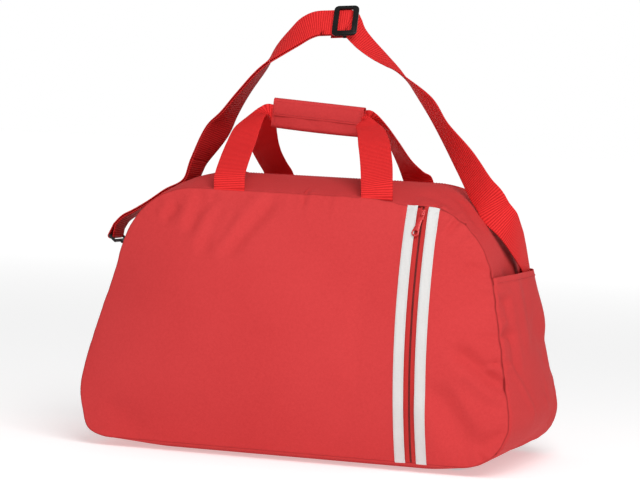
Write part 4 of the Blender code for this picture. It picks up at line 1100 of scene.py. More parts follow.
# The pocket's edge lies over the gusset's, so its painted shade along the seam is half as wide.
mark_seam_shade(pocket_cloth, 2 * (GUSSET_HALF - np.abs(y_grid)))
settle(thicken(declare_cut(pocket_cloth), POCKET_T), red_polyester, "bag", ["right_end_pocket"])
print("slip pocket", len(pocket_cloth.data.polygons), "faces")

# %% [markdown]
# ## Ribbons
# Two plain white ribbons are sewn along the pocket's zip, from the bottom seam to the top one. They follow
# the front's own surface a little above it, folds included.

# %% Ribbons
RIBBON_WIDTH, RIBBON_T, RIBBON_LAP, RIBBON_BOW = 0.0122, 0.0008, 0.0004, 0.0004
RIBBON_EDGES = {"left": (lip_left - RIBBON_WIDTH + GAP, lip_left + RIBBON_LAP),
                "right": (lip_right - RIBBON_LAP, lip_right + RIBBON_WIDTH - GAP)}
for side_name, (start, end) in RIBBON_EDGES.items():
    xs = np.linspace(start, end, 7)
    shares = crowded(150, 0.5)
    x_grid = np.broadcast_to(xs, (len(shares), len(xs))).copy()
    z_grid = SEAM_BOTTOM + shares[:, None] * (np.array([roof(x) for x in xs]) - SEAM_BOTTOM)[None]
    bow = RIBBON_T + RIBBON_BOW - RIBBON_BOW * np.abs(np.linspace(-1, 1, 7)) ** 4
    lift = np.broadcast_to(bow, x_grid.shape)
    ribbon = lay_front(f"ribbon_{side_name}", x_grid, z_grid, front_surface(x_grid, z_grid, lift))
    settle(thicken(ribbon, RIBBON_T), white_ribbon, "bag", [f"stripe_{side_name}"])
print("two ribbons", RIBBON_WIDTH * 1000, "mm wide")

# %% [markdown]
# ## Small repeated shapes
# Zip teeth and stitches repeat hundreds of times. Each is modelled once with few faces, then set along a
# path by turning its points into the path's own axes.

# %% Repeats along a path


def template(add, bevel=0.0, **settings):
    """Points and faces of a small shape made by an operator, bevelled where asked."""
    shape = added("template", add, **settings)
    if bevel:
        bevel_edges(bevel, 1)
    points = np.array([v.co for v in shape.data.vertices])
    faces = [tuple(p.vertices) for p in shape.data.polygons]
    bpy.data.objects.remove(shape, do_unlink=True)
    return points, faces


def repeated(name, shape, places, ahead, out, scale):
    """Copies of a shape at the places: its X runs ahead, its Z stands out, sized by scale."""
    points, faces = shape
    ahead = unit(ahead)
    side = unit(np.cross(out, ahead))
    up = np.cross(ahead, side)
    sized = points * np.asarray(scale)
    moved = (places[:, None] + sized[None, :, :1] * ahead[:, None] + sized[None, :, 1:2] * side[:, None]
             + sized[None, :, 2:] * up[:, None])
    mesh = bpy.data.meshes.new(name)
    every = [tuple(i + k * len(points) for i in face) for k in range(len(places)) for face in faces]
    mesh.from_pydata(moved.reshape(-1, 3).tolist(), [], every)
    mesh.uv_layers.new(name="UVMap")
    mesh.shade_smooth()
    piece = bpy.data.objects.new(name, mesh)
    scene.collection.objects.link(piece)
    return piece


def spaced(route, pitch, *values):
    """The route at even steps of about the pitch, with other values along it."""
    length = lengths_along(route)
    at = np.linspace(pitch / 2, length[-1] - pitch / 2, max(int(length[-1] / pitch), 2))
    return [np.stack([np.interp(at, length, v[:, k]) for k in range(3)], 1) for v in (route, *values)]


TOOTH = template(bpy.ops.mesh.primitive_cube_add, size=1.0, bevel=0.22)
STITCH = template(bpy.ops.mesh.primitive_uv_sphere_add, segments=6, ring_count=5, radius=0.5)
STITCH_PITCH, STITCH_LONG, STITCH_THICK = 0.0034, 0.0027, 0.0006


def stitches(name, route, out, finish=red_thread, body="bag"):
    """A row of lockstitches along a route on the cloth."""
    ways = np.gradient(route, axis=0), np.broadcast_to(out, route.shape)
    places, ahead, up = spaced(route, STITCH_PITCH, *ways)
    piece = repeated(name, STITCH, places, ahead, up, (STITCH_LONG, STITCH_THICK * 1.3, STITCH_THICK))
    return settle(piece, finish, body)


print("tooth has", len(TOOTH[1]), "faces and stitch", len(STITCH[1]))

# %% [markdown]
# ## Pocket zip
# The zip lies between the ribbons: two woven tapes a little below the cloth, and the dark coil along the
# middle, whose teeth reach over from both sides in turn.

# %% Pocket zip
COIL_HALF, COIL_T, TOOTH_PITCH = 0.0017, 0.0014, 0.0016
ZIP_TAPE, TAPE_LIFT, COIL_LIFT = 0.0006, -0.0008, -0.0015
TAPE_PARTING, TAPE_TUCK, ZIP_INSET = 0.0012, 0.0012, 0.0012
TAPE_ROWS = np.array([TAPE_PARTING, 0.004, ZIP_SLOT_HALF, ZIP_TAPE_HALF])
COIL_MIDDLE = COIL_LIFT - COIL_T / 2


def tucked(across):
    """The tape's lift: it dives under the cloth's edge at both sides of the slot."""
    return TAPE_LIFT - TAPE_TUCK * (np.abs(across) > ZIP_SLOT_HALF * 1.1)


def toothed(name, route, ahead, out, across, sides=(-1, 1)):
    """Zip teeth along a route, from one side or from both in turn."""
    teeth = []
    for side in sides:
        places, way, up = spaced(route, TOOTH_PITCH, ahead, out)
        shift = (0.25 * side * TOOTH_PITCH) * unit(way) + across * (side * COIL_HALF * 0.46)
        teeth.append((places + shift, way, up))
    places, way, up = (np.concatenate([t[k] for t in teeth]) for k in range(3))
    return repeated(name, TOOTH, places, way, up, (TOOTH_PITCH * 0.62, COIL_HALF * 1.08, COIL_T))


zip_heights = np.linspace(SEAM_BOTTOM + ZIP_INSET, ZIP_TOP - ZIP_INSET, 90)
for side_name, side in SIDES:
    x_grid, z_grid = np.meshgrid(POCKET_ZIP_X + side * TAPE_ROWS, zip_heights)
    tape = lay_front(f"pocket_tape_{side_name}", x_grid, z_grid,
                     front_smooth(x_grid, z_grid, tucked(x_grid - POCKET_ZIP_X)))
    settle(thicken(tape, ZIP_TAPE), red_tape, "bag", [f"pocket_zip_tape_{side_name}"])

zip_middle = front_smooth(np.full(400, POCKET_ZIP_X), np.linspace(zip_heights[0], zip_heights[-1], 400),
                          np.full(400, COIL_MIDDLE))
zip_ahead = np.gradient(zip_middle, axis=0)
zip_out = unit(np.cross(zip_ahead, np.array([-1.0, 0.0, 0.0])))
zip_out *= np.sign(-zip_out[:, 1:2])
pocket_coil = toothed("pocket_coil", zip_middle, zip_ahead, zip_out, np.array([1.0, 0.0, 0.0]))
settle(pocket_coil, dark_coil, "bag", ["pocket_zip_coil"])
print("pocket coil", len(pocket_coil.data.polygons), "faces")

# %% [markdown]
# ## Main zip
# The top zip is like the pocket's, but its tape and coil are made in four quarters, one with each quarter
# of cloth. Past the mouth's ends the zip stays shut, and runs on over both shoulders.

# %% Main zip
for face_name, face, side_name, side in QUARTERS:
    s_grid, y_grid = np.meshgrid(top_rows(side, 42), face * TAPE_ROWS, indexing="ij")
    tape = lay_band(f"main_tape_{face_name}_{side_name}", s_grid, y_grid,
                    gusset_surface(s_grid, y_grid, tucked(y_grid), 0.0))
    settle(thicken(tape, ZIP_TAPE), red_tape, None, [f"main_zip_tape_{face_name}"] if side > 0 else [])
    fold_in(tape, side, face, face_name)
    route = gusset_surface(top_rows(side, 120), np.zeros(120), COIL_MIDDLE, 0.0)
    out = np.tile([0.0, 0.0, 1.0], (120, 1))
    coil = toothed(f"main_coil_{face_name}_{side_name}", route, np.gradient(route, axis=0) * side, out,
                   CROSS, (face,))
    settle(coil, dark_coil, None, [f"main_zip_coil_{face_name}"] if side > 0 else [])
    fold_in(coil, side, face, face_name)

for side_name, side in SIDES:
    ss = np.linspace(end_s, S_SHOULDER_MID - 2 * FABRIC, 60) * side
    ys = ZIP_TAPE_HALF * np.array([-1.0, -0.46, -0.10, 0.10, 0.46, 1.0])
    s_grid, y_grid = np.meshgrid(ss, ys, indexing="ij")
    dive = tucked(np.where(np.abs(s_grid) > S_SHOULDER_MID + FABRIC / 2, y_grid, ZIP_TAPE_HALF))
    tail = lay_band(f"main_tail_{side_name}", s_grid, y_grid, gusset_surface(s_grid, y_grid, dive, 0.0))
    settle(thicken(tail, ZIP_TAPE), red_tape, "bag", [f"main_zip_tail_{side_name}"])
    ss = np.linspace(end_s, S_SHOULDER_MID + 2 * FABRIC, 50) * side
    route = gusset_surface(ss, np.zeros(50), COIL_MIDDLE, 0.0)
    coil = toothed(f"main_tail_teeth_{side_name}", route, np.gradient(route, axis=0), seam_out(ss), CROSS)
    settle(coil, dark_coil, "bag", [f"main_zip_tail_coil_{side_name}"])
print("main zip mouth", 2 * MOUTH_HALF, "m")

# %% [markdown]
# ## Zip sliders and pulls
# A slider is a small body over the coil with a staple on its back, and the pull hangs in the staple. The
# body is a box drawn in towards its tail and bevelled; the pull is an extruded outline with two holes.

# %% Sliders and pulls
SLIDER_LENGTH, SLIDER_PLATE, SKIRT_T = 0.013, 0.0014, 0.0012
STAPLE_WIRE, STAPLE_OPENING = 0.0010, 0.0030
PULL_WIDTH, PULL_LENGTH, PULL_T, PULL_TURN = 0.009, 0.028, 0.0012, math.radians(-12.0)
SLIDER_LIFT, SLIDER_TAPER = -0.0006, 0.16
SLIDER_TOP = SLIDER_LIFT + SLIDER_PLATE
STAPLE_AXIS = SLIDER_TOP + STAPLE_OPENING / 2 - STAPLE_WIRE / 2


def bevelled_box(name, low, high, bevel):
    low, high = Vector(low), Vector(high)
    box = added(name, bpy.ops.mesh.primitive_cube_add, size=1.0, location=(low + high) / 2)
    box.scale = high - low
    bpy.ops.object.transform_apply(location=True, rotation=True, scale=True)
    bevel_edges(bevel, 3)
    return box


def boolean(piece, operation, *others):
    """Join or cut the piece by the others, which are then removed."""
    for other in others:
        step = piece.modifiers.new(operation.lower(), "BOOLEAN")
        step.operation = operation
        step.object = other
        apply_modifiers(piece)
        bpy.data.objects.remove(other, do_unlink=True)
    return piece


def moved(piece, matrix):
    piece.data.transform(matrix)
    piece.data.update()
    return piece


def frame_matrix(origin, x_axis, y_axis, z_axis):
    matrix = Matrix((Vector(x_axis), Vector(y_axis), Vector(z_axis))).transposed().to_4x4()
    matrix.translation = Vector(origin)
    return matrix


def outline_plate(name, outline, thickness, bevel):
    """A flat plate with the given outline, its middle in the XY plane."""
    piece = added(name, bpy.ops.mesh.primitive_circle_add, vertices=len(outline), fill_type="NGON")
    for vertex, (x, y) in zip(piece.data.vertices, outline):
        vertex.co = (x, y, -thickness / 2)
    bpy.ops.object.mode_set(mode="EDIT")
    bpy.ops.mesh.select_all(action="SELECT")
    bpy.ops.mesh.extrude_region_move(TRANSFORM_OT_translate={"value": (0.0, 0.0, thickness)})
    bpy.ops.mesh.select_all(action="SELECT")
    bpy.ops.mesh.normals_make_consistent(inside=False)
    bpy.ops.object.mode_set(mode="OBJECT")
    rim = piece.modifiers.new("rim", "BEVEL")
    rim.width = bevel
    rim.segments = 2
    rim.limit_method = "ANGLE"
    rim.angle_limit = math.radians(50.0)
    apply_modifiers(piece)
    return piece


def drill(radius, x):
    hole = added("drill", bpy.ops.mesh.primitive_cylinder_add, vertices=28, radius=radius, depth=0.02,
                 location=(x, 0.0, 0.0))
    bpy.ops.object.transform_apply(location=True, rotation=True, scale=True)
    return hole


def zip_slider(label, matrix, body):
    half, wing = SLIDER_LENGTH / 2, COIL_HALF + GAP + SKIRT_T
    slider = bevelled_box(f"{label}_slider_body", (-half, -wing, SLIDER_LIFT), (half, wing, SLIDER_TOP),
                          0.0005)
    ridge = bevelled_box("ridge", (-half * 0.7, -wing * 0.5, SLIDER_LIFT),
                         (half * 0.75, wing * 0.5, SLIDER_TOP + 0.0005), 0.0004)
    boolean(slider, "UNION", ridge)
    for vertex in slider.data.vertices:
        if vertex.co.x > 0:
            vertex.co.y *= 1 - SLIDER_TAPER * ease(vertex.co.x / half)
    foot, rise = SLIDER_TOP - 0.0003, STAPLE_AXIS + STAPLE_OPENING / 2
    reach = STAPLE_OPENING / 2 + STAPLE_WIRE / 2
    arch = [(-reach, 0, foot), (-reach, 0, STAPLE_AXIS), (-reach * 0.72, 0, rise - 0.0004), (0, 0, rise),
            (reach * 0.72, 0, rise - 0.0004), (reach, 0, STAPLE_AXIS), (reach, 0, foot)]
    wire = rounded_profile(0.001, STAPLE_WIRE / 2, 0.0003, 2, 2)
    staple = swept("staple", np.array(arch), (0.0, 1.0, 0.0), wire)
    only(staple, slider)
    bpy.ops.object.join()
    settle(smooth_edges(moved(slider, matrix)), red_paint, body, [f"{label}_zip_slider"])
    return slider


def zip_pull(label, matrix, body):
    wide, far, near = PULL_WIDTH / 2, PULL_LENGTH, -PULL_T / 2
    waist = [(near + (far - wide - near) * t, wide * (0.75 - 0.20 * math.sin(math.pi * t) + 0.25 * t * t))
             for t in np.linspace(0.0, 1.0, 13)]
    turn = np.linspace(math.pi / 2, -math.pi / 2, 17)[1:-1]
    nose = [(far - wide + wide * math.cos(a), wide * math.sin(a)) for a in turn]
    outline = waist + nose + [(x, -y) for x, y in reversed(waist)]
    pull = outline_plate(f"{label}_pull_tab", outline, PULL_T, 0.0002)
    eye_end = near + PULL_T + STAPLE_OPENING + STAPLE_WIRE
    eye = bevelled_box("eye", (PULL_T / 2, -0.0020, -0.01), (eye_end, 0.0020, 0.01), 0.0006)
    boolean(pull, "DIFFERENCE", eye, drill(wide * 0.62, far - wide))
    ring = [(far - wide + wide * 0.78 * math.cos(a), wide * 0.78 * math.sin(a), 0.0)
            for a in np.linspace(0, math.tau, 32, endpoint=False)]
    rim = swept("rim", np.array(ring), (0.0, 0.0, 1.0), round_profile(0.0008, 10), loop=True)
    only(rim, pull)
    bpy.ops.object.join()
    settle(smooth_edges(moved(pull, matrix)), red_paint, body, [f"{label}_zip_pull"])
    return pull


def pocket_normal(z):
    step = 0.0005
    slope = float(zip_arc(np.array(z + step)) - zip_arc(np.array(z - step))) / (2 * step)
    return Vector((0.0, -1.0, -slope)).normalized()


POCKET_SLIDER_Z = SEAM_TOP - 0.012
main_frame = frame_matrix((-MOUTH_HALF, 0.0, SEAM_TOP + TOP_CROWN), (-1, 0, 0), (0, -1, 0), (0, 0, 1))
out = pocket_normal(POCKET_SLIDER_Z - DIP)
pocket_frame = frame_matrix(front_smooth(np.array(POCKET_ZIP_X), np.array(POCKET_SLIDER_Z), np.array(0.0)),
                            Vector((1, 0, 0)).cross(out), (1, 0, 0), out)
to_axis = Matrix.Translation((0.0, 0.0, STAPLE_AXIS))
zip_slider("main", main_frame, "main_slider")
zip_pull("main", main_frame @ to_axis, "main_pull")
zip_slider("pocket", pocket_frame, "pocket_slider")
zip_pull("pocket", pocket_frame @ to_axis @ Matrix.Rotation(PULL_TURN, 4, "Z"), "pocket_pull")
print("sliders and pulls on both zips")

# %% [markdown]
# ## Carry handles
# Each handle is one length of webbing, sewn into the top seam at both feet and drawn up to a grip. Its legs
# twist on the way: flat against the bag at the foot, on edge where the wrap holds them. A band swept along
# a smooth route, with the way it faces given at each place, has that twist.

# %% Handles
WEBBING_WIDTH, WEBBING_T = 0.038, 0.0016
GRIP_WIDTH, GRIP_SPREAD, GRIP_INSET = 0.032, 0.0035, 0.002
FOOT_IN, FOOT_DOWN = 0.0008, 0.0042
WRAP_LENGTH, WRAP_TILT, WRAP_T = 0.115, math.radians(3.5), 0.0018
WRAP_CENTRE = np.array([-0.0235, 0.0, SEAM_TOP + 0.0905])
wrap_along = np.array([math.cos(WRAP_TILT), 0.0, -math.sin(WRAP_TILT)])
wrap_up = np.array([math.sin(WRAP_TILT), 0.0, math.cos(WRAP_TILT)])
LEG_STEPS = 14
# Each row is a place on the leg, the way its webbing faces there, and its share of the full width.
LEG_ROUTES = {
    ("front", "left"): (
        ((-0.0900, -0.1392, 0.3166), (0.00, -1.00, 0.00), 1.00),
        ((-0.0915, -0.1345, 0.3330), (0.00, -0.95, 0.30), 1.00),
        ((-0.0940, -0.1100, 0.3520), (-0.05, -0.70, 0.70), 1.00),
        ((-0.0965, -0.0800, 0.3710), (-0.08, -0.66, 0.75), 1.00),
        ((-0.0980, -0.0520, 0.3900), (-0.15, -0.68, 0.72), 0.94),
        ((-0.0950, -0.0260, 0.4045), (-0.32, -0.74, 0.58), 0.74),
        ((-0.0880, -0.0105, 0.4095), (-0.25, -0.93, 0.25), 0.58),
        ((-0.0800, -0.0045, 0.4098), (0.00, -1.00, 0.00), 0.50),
    ),
    ("front", "right"): (
        ((0.0900, -0.1392, 0.3166), (0.00, -1.00, 0.00), 1.00),
        ((0.0880, -0.1345, 0.3330), (0.00, -0.95, 0.30), 1.00),
        ((0.0800, -0.1100, 0.3550), (0.05, -0.70, 0.70), 1.00),
        ((0.0680, -0.0780, 0.3780), (0.10, -0.66, 0.74), 1.00),
        ((0.0565, -0.0480, 0.3920), (0.22, -0.68, 0.70), 0.92),
        ((0.0475, -0.0290, 0.3985), (0.25, -0.74, 0.62), 0.82),
        ((0.0400, -0.0125, 0.4065), (0.15, -0.90, 0.38), 0.26),
        ((0.0320, -0.0050, 0.4060), (0.00, -1.00, 0.00), 0.12),
    ),
    ("back", "left"): (
        ((-0.1060, 0.1392, 0.3166), (0.00, 1.00, 0.00), 1.00),
        ((-0.1100, 0.1330, 0.3330), (0.00, 0.95, 0.30), 1.00),
        ((-0.1125, 0.1100, 0.3470), (-0.05, 0.62, 0.78), 1.00),
        ((-0.1125, 0.0800, 0.3630), (-0.08, 0.55, 0.83), 1.00),
        ((-0.1080, 0.0500, 0.3820), (-0.15, 0.62, 0.78), 0.94),
        ((-0.0985, 0.0250, 0.3985), (-0.32, 0.74, 0.58), 0.74),
        ((-0.0885, 0.0105, 0.4070), (-0.25, 0.93, 0.25), 0.58),
        ((-0.0800, 0.0045, 0.4098), (0.00, 1.00, 0.00), 0.50),
    ),
    ("back", "right"): (
        ((0.0780, 0.1392, 0.3166), (0.00, 1.00, 0.00), 1.00),
        ((0.0750, 0.1330, 0.3330), (0.00, 0.95, 0.30), 1.00),
        ((0.0690, 0.1120, 0.3480), (0.30, 0.48, 0.82), 1.00),
        ((0.0625, 0.0850, 0.3650), (0.51, 0.36, 0.78), 1.00),
        ((0.0550, 0.0540, 0.3840), (0.50, 0.42, 0.76), 0.94),
        ((0.0470, 0.0260, 0.4010), (0.42, 0.72, 0.55), 0.74),
        ((0.0390, 0.0100, 0.4080), (0.25, 0.93, 0.25), 0.58),
        ((0.0320, 0.0045, 0.4050), (0.00, 1.00, 0.00), 0.50),
    ),
}
webbing_profile = rounded_profile(WEBBING_WIDTH / 2, WEBBING_T / 2, 0.0007, 3, 6)


def across_route(route, facing):
    return unit(np.cross(np.gradient(route, axis=0), facing))


grip_half = WRAP_LENGTH / 2 - GRIP_INSET
for face_name, face in FACES:
    for side_name, _ in SIDES:
        route, facing, breadth = (np.array(v, float) for v in zip(*LEG_ROUTES[face_name, side_name]))
        spine = smooth_route(route, LEG_STEPS)
        wide = across_route(spine, smooth_route(facing, LEG_STEPS))
        wide[0] = (math.copysign(1.0, wide[0][0]), 0.0, 0.0)
        wide[-1] = wrap_up * math.copysign(1.0, wide[-1][2])
        breadth = np.interp(np.arange(len(spine)) / LEG_STEPS, np.arange(len(route)), breadth)
        tuck = spine[0] + np.array([0.0, -face * FOOT_IN, -FOOT_DOWN])
        spine = np.vstack([tuck, spine])
        wide = np.vstack([wide[:1], wide])
        breadth = np.concatenate([breadth[:1], breadth])
        leg = swept(f"handle_{face_name}_{side_name}", spine, wide, webbing_profile, breadth)
        settle(leg, red_webbing, None, [f"{face_name}_handle_{side_name}_leg"])
        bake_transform(leg)
    shift = np.array([0, face * GRIP_SPREAD, 0])
    spine = [WRAP_CENTRE + wrap_along * grip_half * t + shift for t in np.linspace(-1, 1, 20)]
    grip = swept(f"grip_{face_name}", np.array(spine), wrap_up, webbing_profile, GRIP_WIDTH / WEBBING_WIDTH)
    settle(grip, red_webbing, "grips", [f"{face_name}_handle_grip"])
print("two handles of", WEBBING_WIDTH * 1000, "mm webbing")

# %% [markdown]
# ## Wrap round the grips
# A sleeve of the bag's own cloth is folded round both grips and closed by a flap over its front. The sleeve
# is a rounded section carried along the grips, and the flap is a sheet that follows its face.

# %% Handle wrap
SLEEVE_ROOM, SLEEVE_SWELL, SLEEVE_CREASE, SLEEVE_SAG = 0.0004, 0.0007, 0.0004, 0.0012
sleeve_inner = GRIP_SPREAD + WEBBING_T / 2 + SLEEVE_ROOM
sleeve_tall = GRIP_WIDTH / 2 + SLEEVE_ROOM
stations = np.linspace(-WRAP_LENGTH / 2, WRAP_LENGTH / 2, 46)
spine = WRAP_CENTRE + wrap_along * stations[:, None]
section = rounded_profile(sleeve_tall + WRAP_T, sleeve_inner + WRAP_T, 0.0045, 6, 14)
sleeve = swept("handle_sleeve", spine, wrap_up, section, capped=False)
puff = np.array([v.co for v in sleeve.data.vertices])
run = (puff - WRAP_CENTRE) @ wrap_along
rise = (puff - WRAP_CENTRE) @ wrap_up
swell = SLEEVE_SWELL * np.cos(run / (WRAP_LENGTH / 2) * 1.4)
swell += SLEEVE_CREASE * np.sin(run * 160 + rise * 70)
puff[:, 1] += np.sign(puff[:, 1]) * swell * (np.abs(puff[:, 1]) > 0.003)
sag = SLEEVE_SAG * np.cos(run / (WRAP_LENGTH / 2) * 1.2) * ease(-rise / sleeve_tall)
puff -= sag[:, None] * wrap_up
sleeve.data.vertices.foreach_set("co", puff.astype(np.float32).ravel())
settle(thicken(sleeve, WRAP_T), red_polyester, "grips", ["handle_wrap"])

FLAP_TOP, FLAP_DROP, FLAP_T = sleeve_tall + WRAP_T - sleeve_inner, 2 * sleeve_tall * 0.52, 0.0012
flap_y = -(sleeve_inner + WRAP_T + GAP)
flap_half = WRAP_LENGTH / 2 - FABRIC
a_grid, b_grid = np.meshgrid(np.linspace(-flap_half, flap_half, 44), np.linspace(0.0, 1.0, 16))
heights = FLAP_TOP - FLAP_DROP * b_grid
flap_points = WRAP_CENTRE + wrap_along * a_grid[..., None] + wrap_up * heights[..., None]
flap_points[..., 1] = flap_y - FLAP_T - 0.0006 * np.sin(math.pi * b_grid) * np.cos(a_grid / flap_half * 1.4)
flap = lay_grid("sleeve_flap", flap_points, np.stack([a_grid, b_grid * FLAP_DROP], -1), forwards)
settle(thicken(declare_cut(flap), FLAP_T), red_polyester, "wrap_closure", ["wrap_flap"])
print("wrap", WRAP_LENGTH * 1000, "mm long")

# %% [markdown]
# ## Rings, hooks and swivels
# At each end a webbing tab holds a ring, and the strap's snap hook hangs in it: a bent wire with a sprung
# gate, and a swivel eye for the webbing. Wire swept along its bends makes the ring, the hook and the gate.
# The tab is a short band folded round the ring, and the eye is a plate with a slot.

# %% Hardware at the two ends
RING_DROP = {"left": 0.104, "right": 0.140}
HARDWARE_LEAN = {"left": math.radians(50.0), "right": math.radians(-3.6)}
TAB_WIDTH, TAB_T, TAB_LENGTH = 0.021, 0.0014, 0.022
RING_R, RING_HALF, RING_HEIGHT = 0.0015, 0.0145, 0.018
HOOK_WIRE, HOOK_TIP, HOOK_REACH = 0.0032, 0.009, 0.020
HOOK_SHANK = ((1.0, 0.45), (0.85, 0.60), (0.25, 0.75), (0.0, 0.85), (0.0, 1.0))
GATE_WIRE, GATE_LENGTH = 0.0022, 0.0065
SWIVEL_T, SWIVEL_BAR, SWIVEL_NECK, SWIVEL_SLOT = 0.003, 0.003, 0.0025, 0.0065
HALF_TURN = np.linspace(0.0, math.pi, 15)
TAB_LOOP = RING_R + GAP + TAB_T / 2
HOOK_BEND = RING_R + 0.0005 + HOOK_WIRE / 2
STRAP_LOOP = math.hypot(SWIVEL_BAR, SWIVEL_T) / 2 + GAP + WEBBING_T / 2


def hardware_frame(side_name, side):
    """The ring's bar, the end panel's outward and upward ways, and the hardware's two ways."""
    s = side * seam_at_height(SEAM_TOP - RING_DROP[side_name])
    _, _, nx, nz = (float(v) for v in seam_line(s))
    out, up = np.array([nx, 0.0, nz]), np.array([-side * nz, 0.0, side * nx])
    x, z = (float(v) for v in seam_line(s)[:2])
    seat = np.array([x, 0.0, z]) + out * float(crown(np.array(s), np.array(0.0)))
    lean = HARDWARE_LEAN[side_name]
    along = np.array([side * math.sin(lean), 0.0, math.cos(lean)])
    outer = np.array([side * math.cos(lean), 0.0, -math.sin(lean)])
    return seat + out * (GAP + TAB_T / 2 + TAB_LOOP), out, up, along, outer


def swivel_bar(side_name, side):
    """The middle of the swivel's outer bar, which the webbing turns round."""
    bar, _, _, along, _ = hardware_frame(side_name, side)
    reach = RING_HEIGHT + HOOK_REACH + GAP + SWIVEL_NECK + SWIVEL_BAR + SWIVEL_SLOT + SWIVEL_BAR / 2
    return bar + along * reach


def in_plane(origin, first, second, places):
    """Points given by their distances along two ways."""
    return np.array([origin + first * a + second * b for a, b in places])


for side_name, side in SIDES:
    bar, out, up, along, outer = hardware_frame(side_name, side)
    normal = np.cross(CROSS, along)
    seat, doubled = bar - out * TAB_LOOP, TAB_T + GAP
    route = [seat - up * TAB_LENGTH * t for t in (1.0, 0.75, 0.5, 0.25)]
    route += [bar + TAB_LOOP * (-out * math.cos(a) + up * math.sin(a)) for a in HALF_TURN]
    route += [seat + out * doubled - up * TAB_LENGTH * t for t in (0.5, 0.75, 1.0)]
    band = rounded_profile(TAB_WIDTH / 2, TAB_T / 2, 0.0006, 2, 6)
    tab = swept(f"tab_{side_name}", np.array(route), CROSS, band)
    settle(tab, red_webbing, "bag", [f"{side_name}_ring_tab"])

    corner = 2 * RING_R
    foot = RING_HALF - corner * 0.3
    ring = [(-RING_HALF + corner, 0.0), (0.0, 0.0), (RING_HALF - corner, 0.0), (foot, corner * 0.3)]
    ring += [(RING_HALF * math.cos(a), corner + (RING_HEIGHT - corner) * math.sin(a))
             for a in np.linspace(0, math.pi, 33)]
    ring.append((-foot, corner * 0.3))
    wire = swept(f"ring_{side_name}", in_plane(bar, CROSS, along, ring), normal, round_profile(RING_R),
                 loop=True)
    settle(wire, black_metal, "bag", [f"{side_name}_ring"])

    low = RING_HEIGHT
    bends = [(-HOOK_BEND, low + HOOK_TIP), (-HOOK_BEND, low + HOOK_TIP / 2)]
    bends += [(-HOOK_BEND * math.cos(a), low - HOOK_BEND * math.sin(a)) for a in HALF_TURN]
    bends += [(HOOK_BEND * e, low + HOOK_REACH * d) for e, d in HOOK_SHANK]
    hook = swept(f"hook_{side_name}", in_plane(bar, outer, along, bends), CROSS,
                 round_profile(HOOK_WIRE / 2))
    settle(hook, black_metal, "bag", [f"{side_name}_hook"])

    foot = low + HOOK_TIP + GAP
    gate = [(-HOOK_BEND, foot), (-(HOOK_WIRE / 2 + GAP + GATE_WIRE / 2), foot + GATE_LENGTH)]
    wire = swept(f"gate_{side_name}", in_plane(bar, outer, along, gate), CROSS,
                 round_profile(GATE_WIRE / 2, 10))
    settle(wire, black_metal, f"{side_name}_gate", [f"{side_name}_hook_gate"])

    neck = low + HOOK_REACH + GAP
    base = neck + SWIVEL_NECK
    slot_low = base + SWIVEL_BAR
    slot_half = WEBBING_WIDTH / 2 + 4 * GAP
    eye_half, eye_high = slot_half + SWIVEL_BAR, slot_low + SWIVEL_SLOT + SWIVEL_BAR
    outline = [(-SWIVEL_BAR, neck), (SWIVEL_BAR, neck), (SWIVEL_BAR, base), (eye_half - 0.001, base),
               (eye_half, base + 0.001), (eye_half, eye_high - 0.001), (eye_half - 0.001, eye_high),
               (-eye_half + 0.001, eye_high), (-eye_half, eye_high - 0.001), (-eye_half, base + 0.001),
               (-eye_half + 0.001, base), (-SWIVEL_BAR, base)]
    eye = outline_plate(f"swivel_{side_name}", outline, SWIVEL_T, 0.0005)
    slot = bevelled_box("slot", (-slot_half, slot_low, -0.01), (slot_half, slot_low + SWIVEL_SLOT, 0.01),
                        0.0008)
    boolean(eye, "DIFFERENCE", slot)
    moved(eye, frame_matrix(bar, CROSS, along, normal))
    settle(smooth_edges(eye), black_metal, "bag", [f"{side_name}_hook_swivel"])
print("rings, hooks and swivels at both ends")

# %% [markdown]
# ## Shoulder strap
# One length of webbing: from the slide down to the left hook, round its swivel, back up through the slide
# and on to the right hook. It is flat webbing that twists on its way, so it is swept along a route that
# gives a facing at each place. Its ends follow the bag and its arch swings.

# %% Strap routes
ADJUSTER_POINT = np.array([0.005, 0.0, SEAM_TOP + 0.2085])
ADJUSTER_FACE = np.array([0.05, -0.80, 0.60])
ADJUSTER_SLOPE, ADJUSTER_SWING = math.radians(4.0), math.radians(4.0)
ADJUSTER_T, ADJUSTER_BAR, ADJUSTER_LENGTH, ADJUSTER_SIDE = 0.0024, 0.0045, 0.028, 0.0035
STRAP_LAYERS, STRAP_STEPS = 0.0026, 14
STRAIGHT_BEFORE, STRAIGHT_AFTER, RETURN_TAIL, SEWN_TAIL = 0.030, 0.003, 0.020, 0.013
# The place on the right-hand route where the strap is seen on edge and its painted shade moves to its other
# side.
TWIST = 6
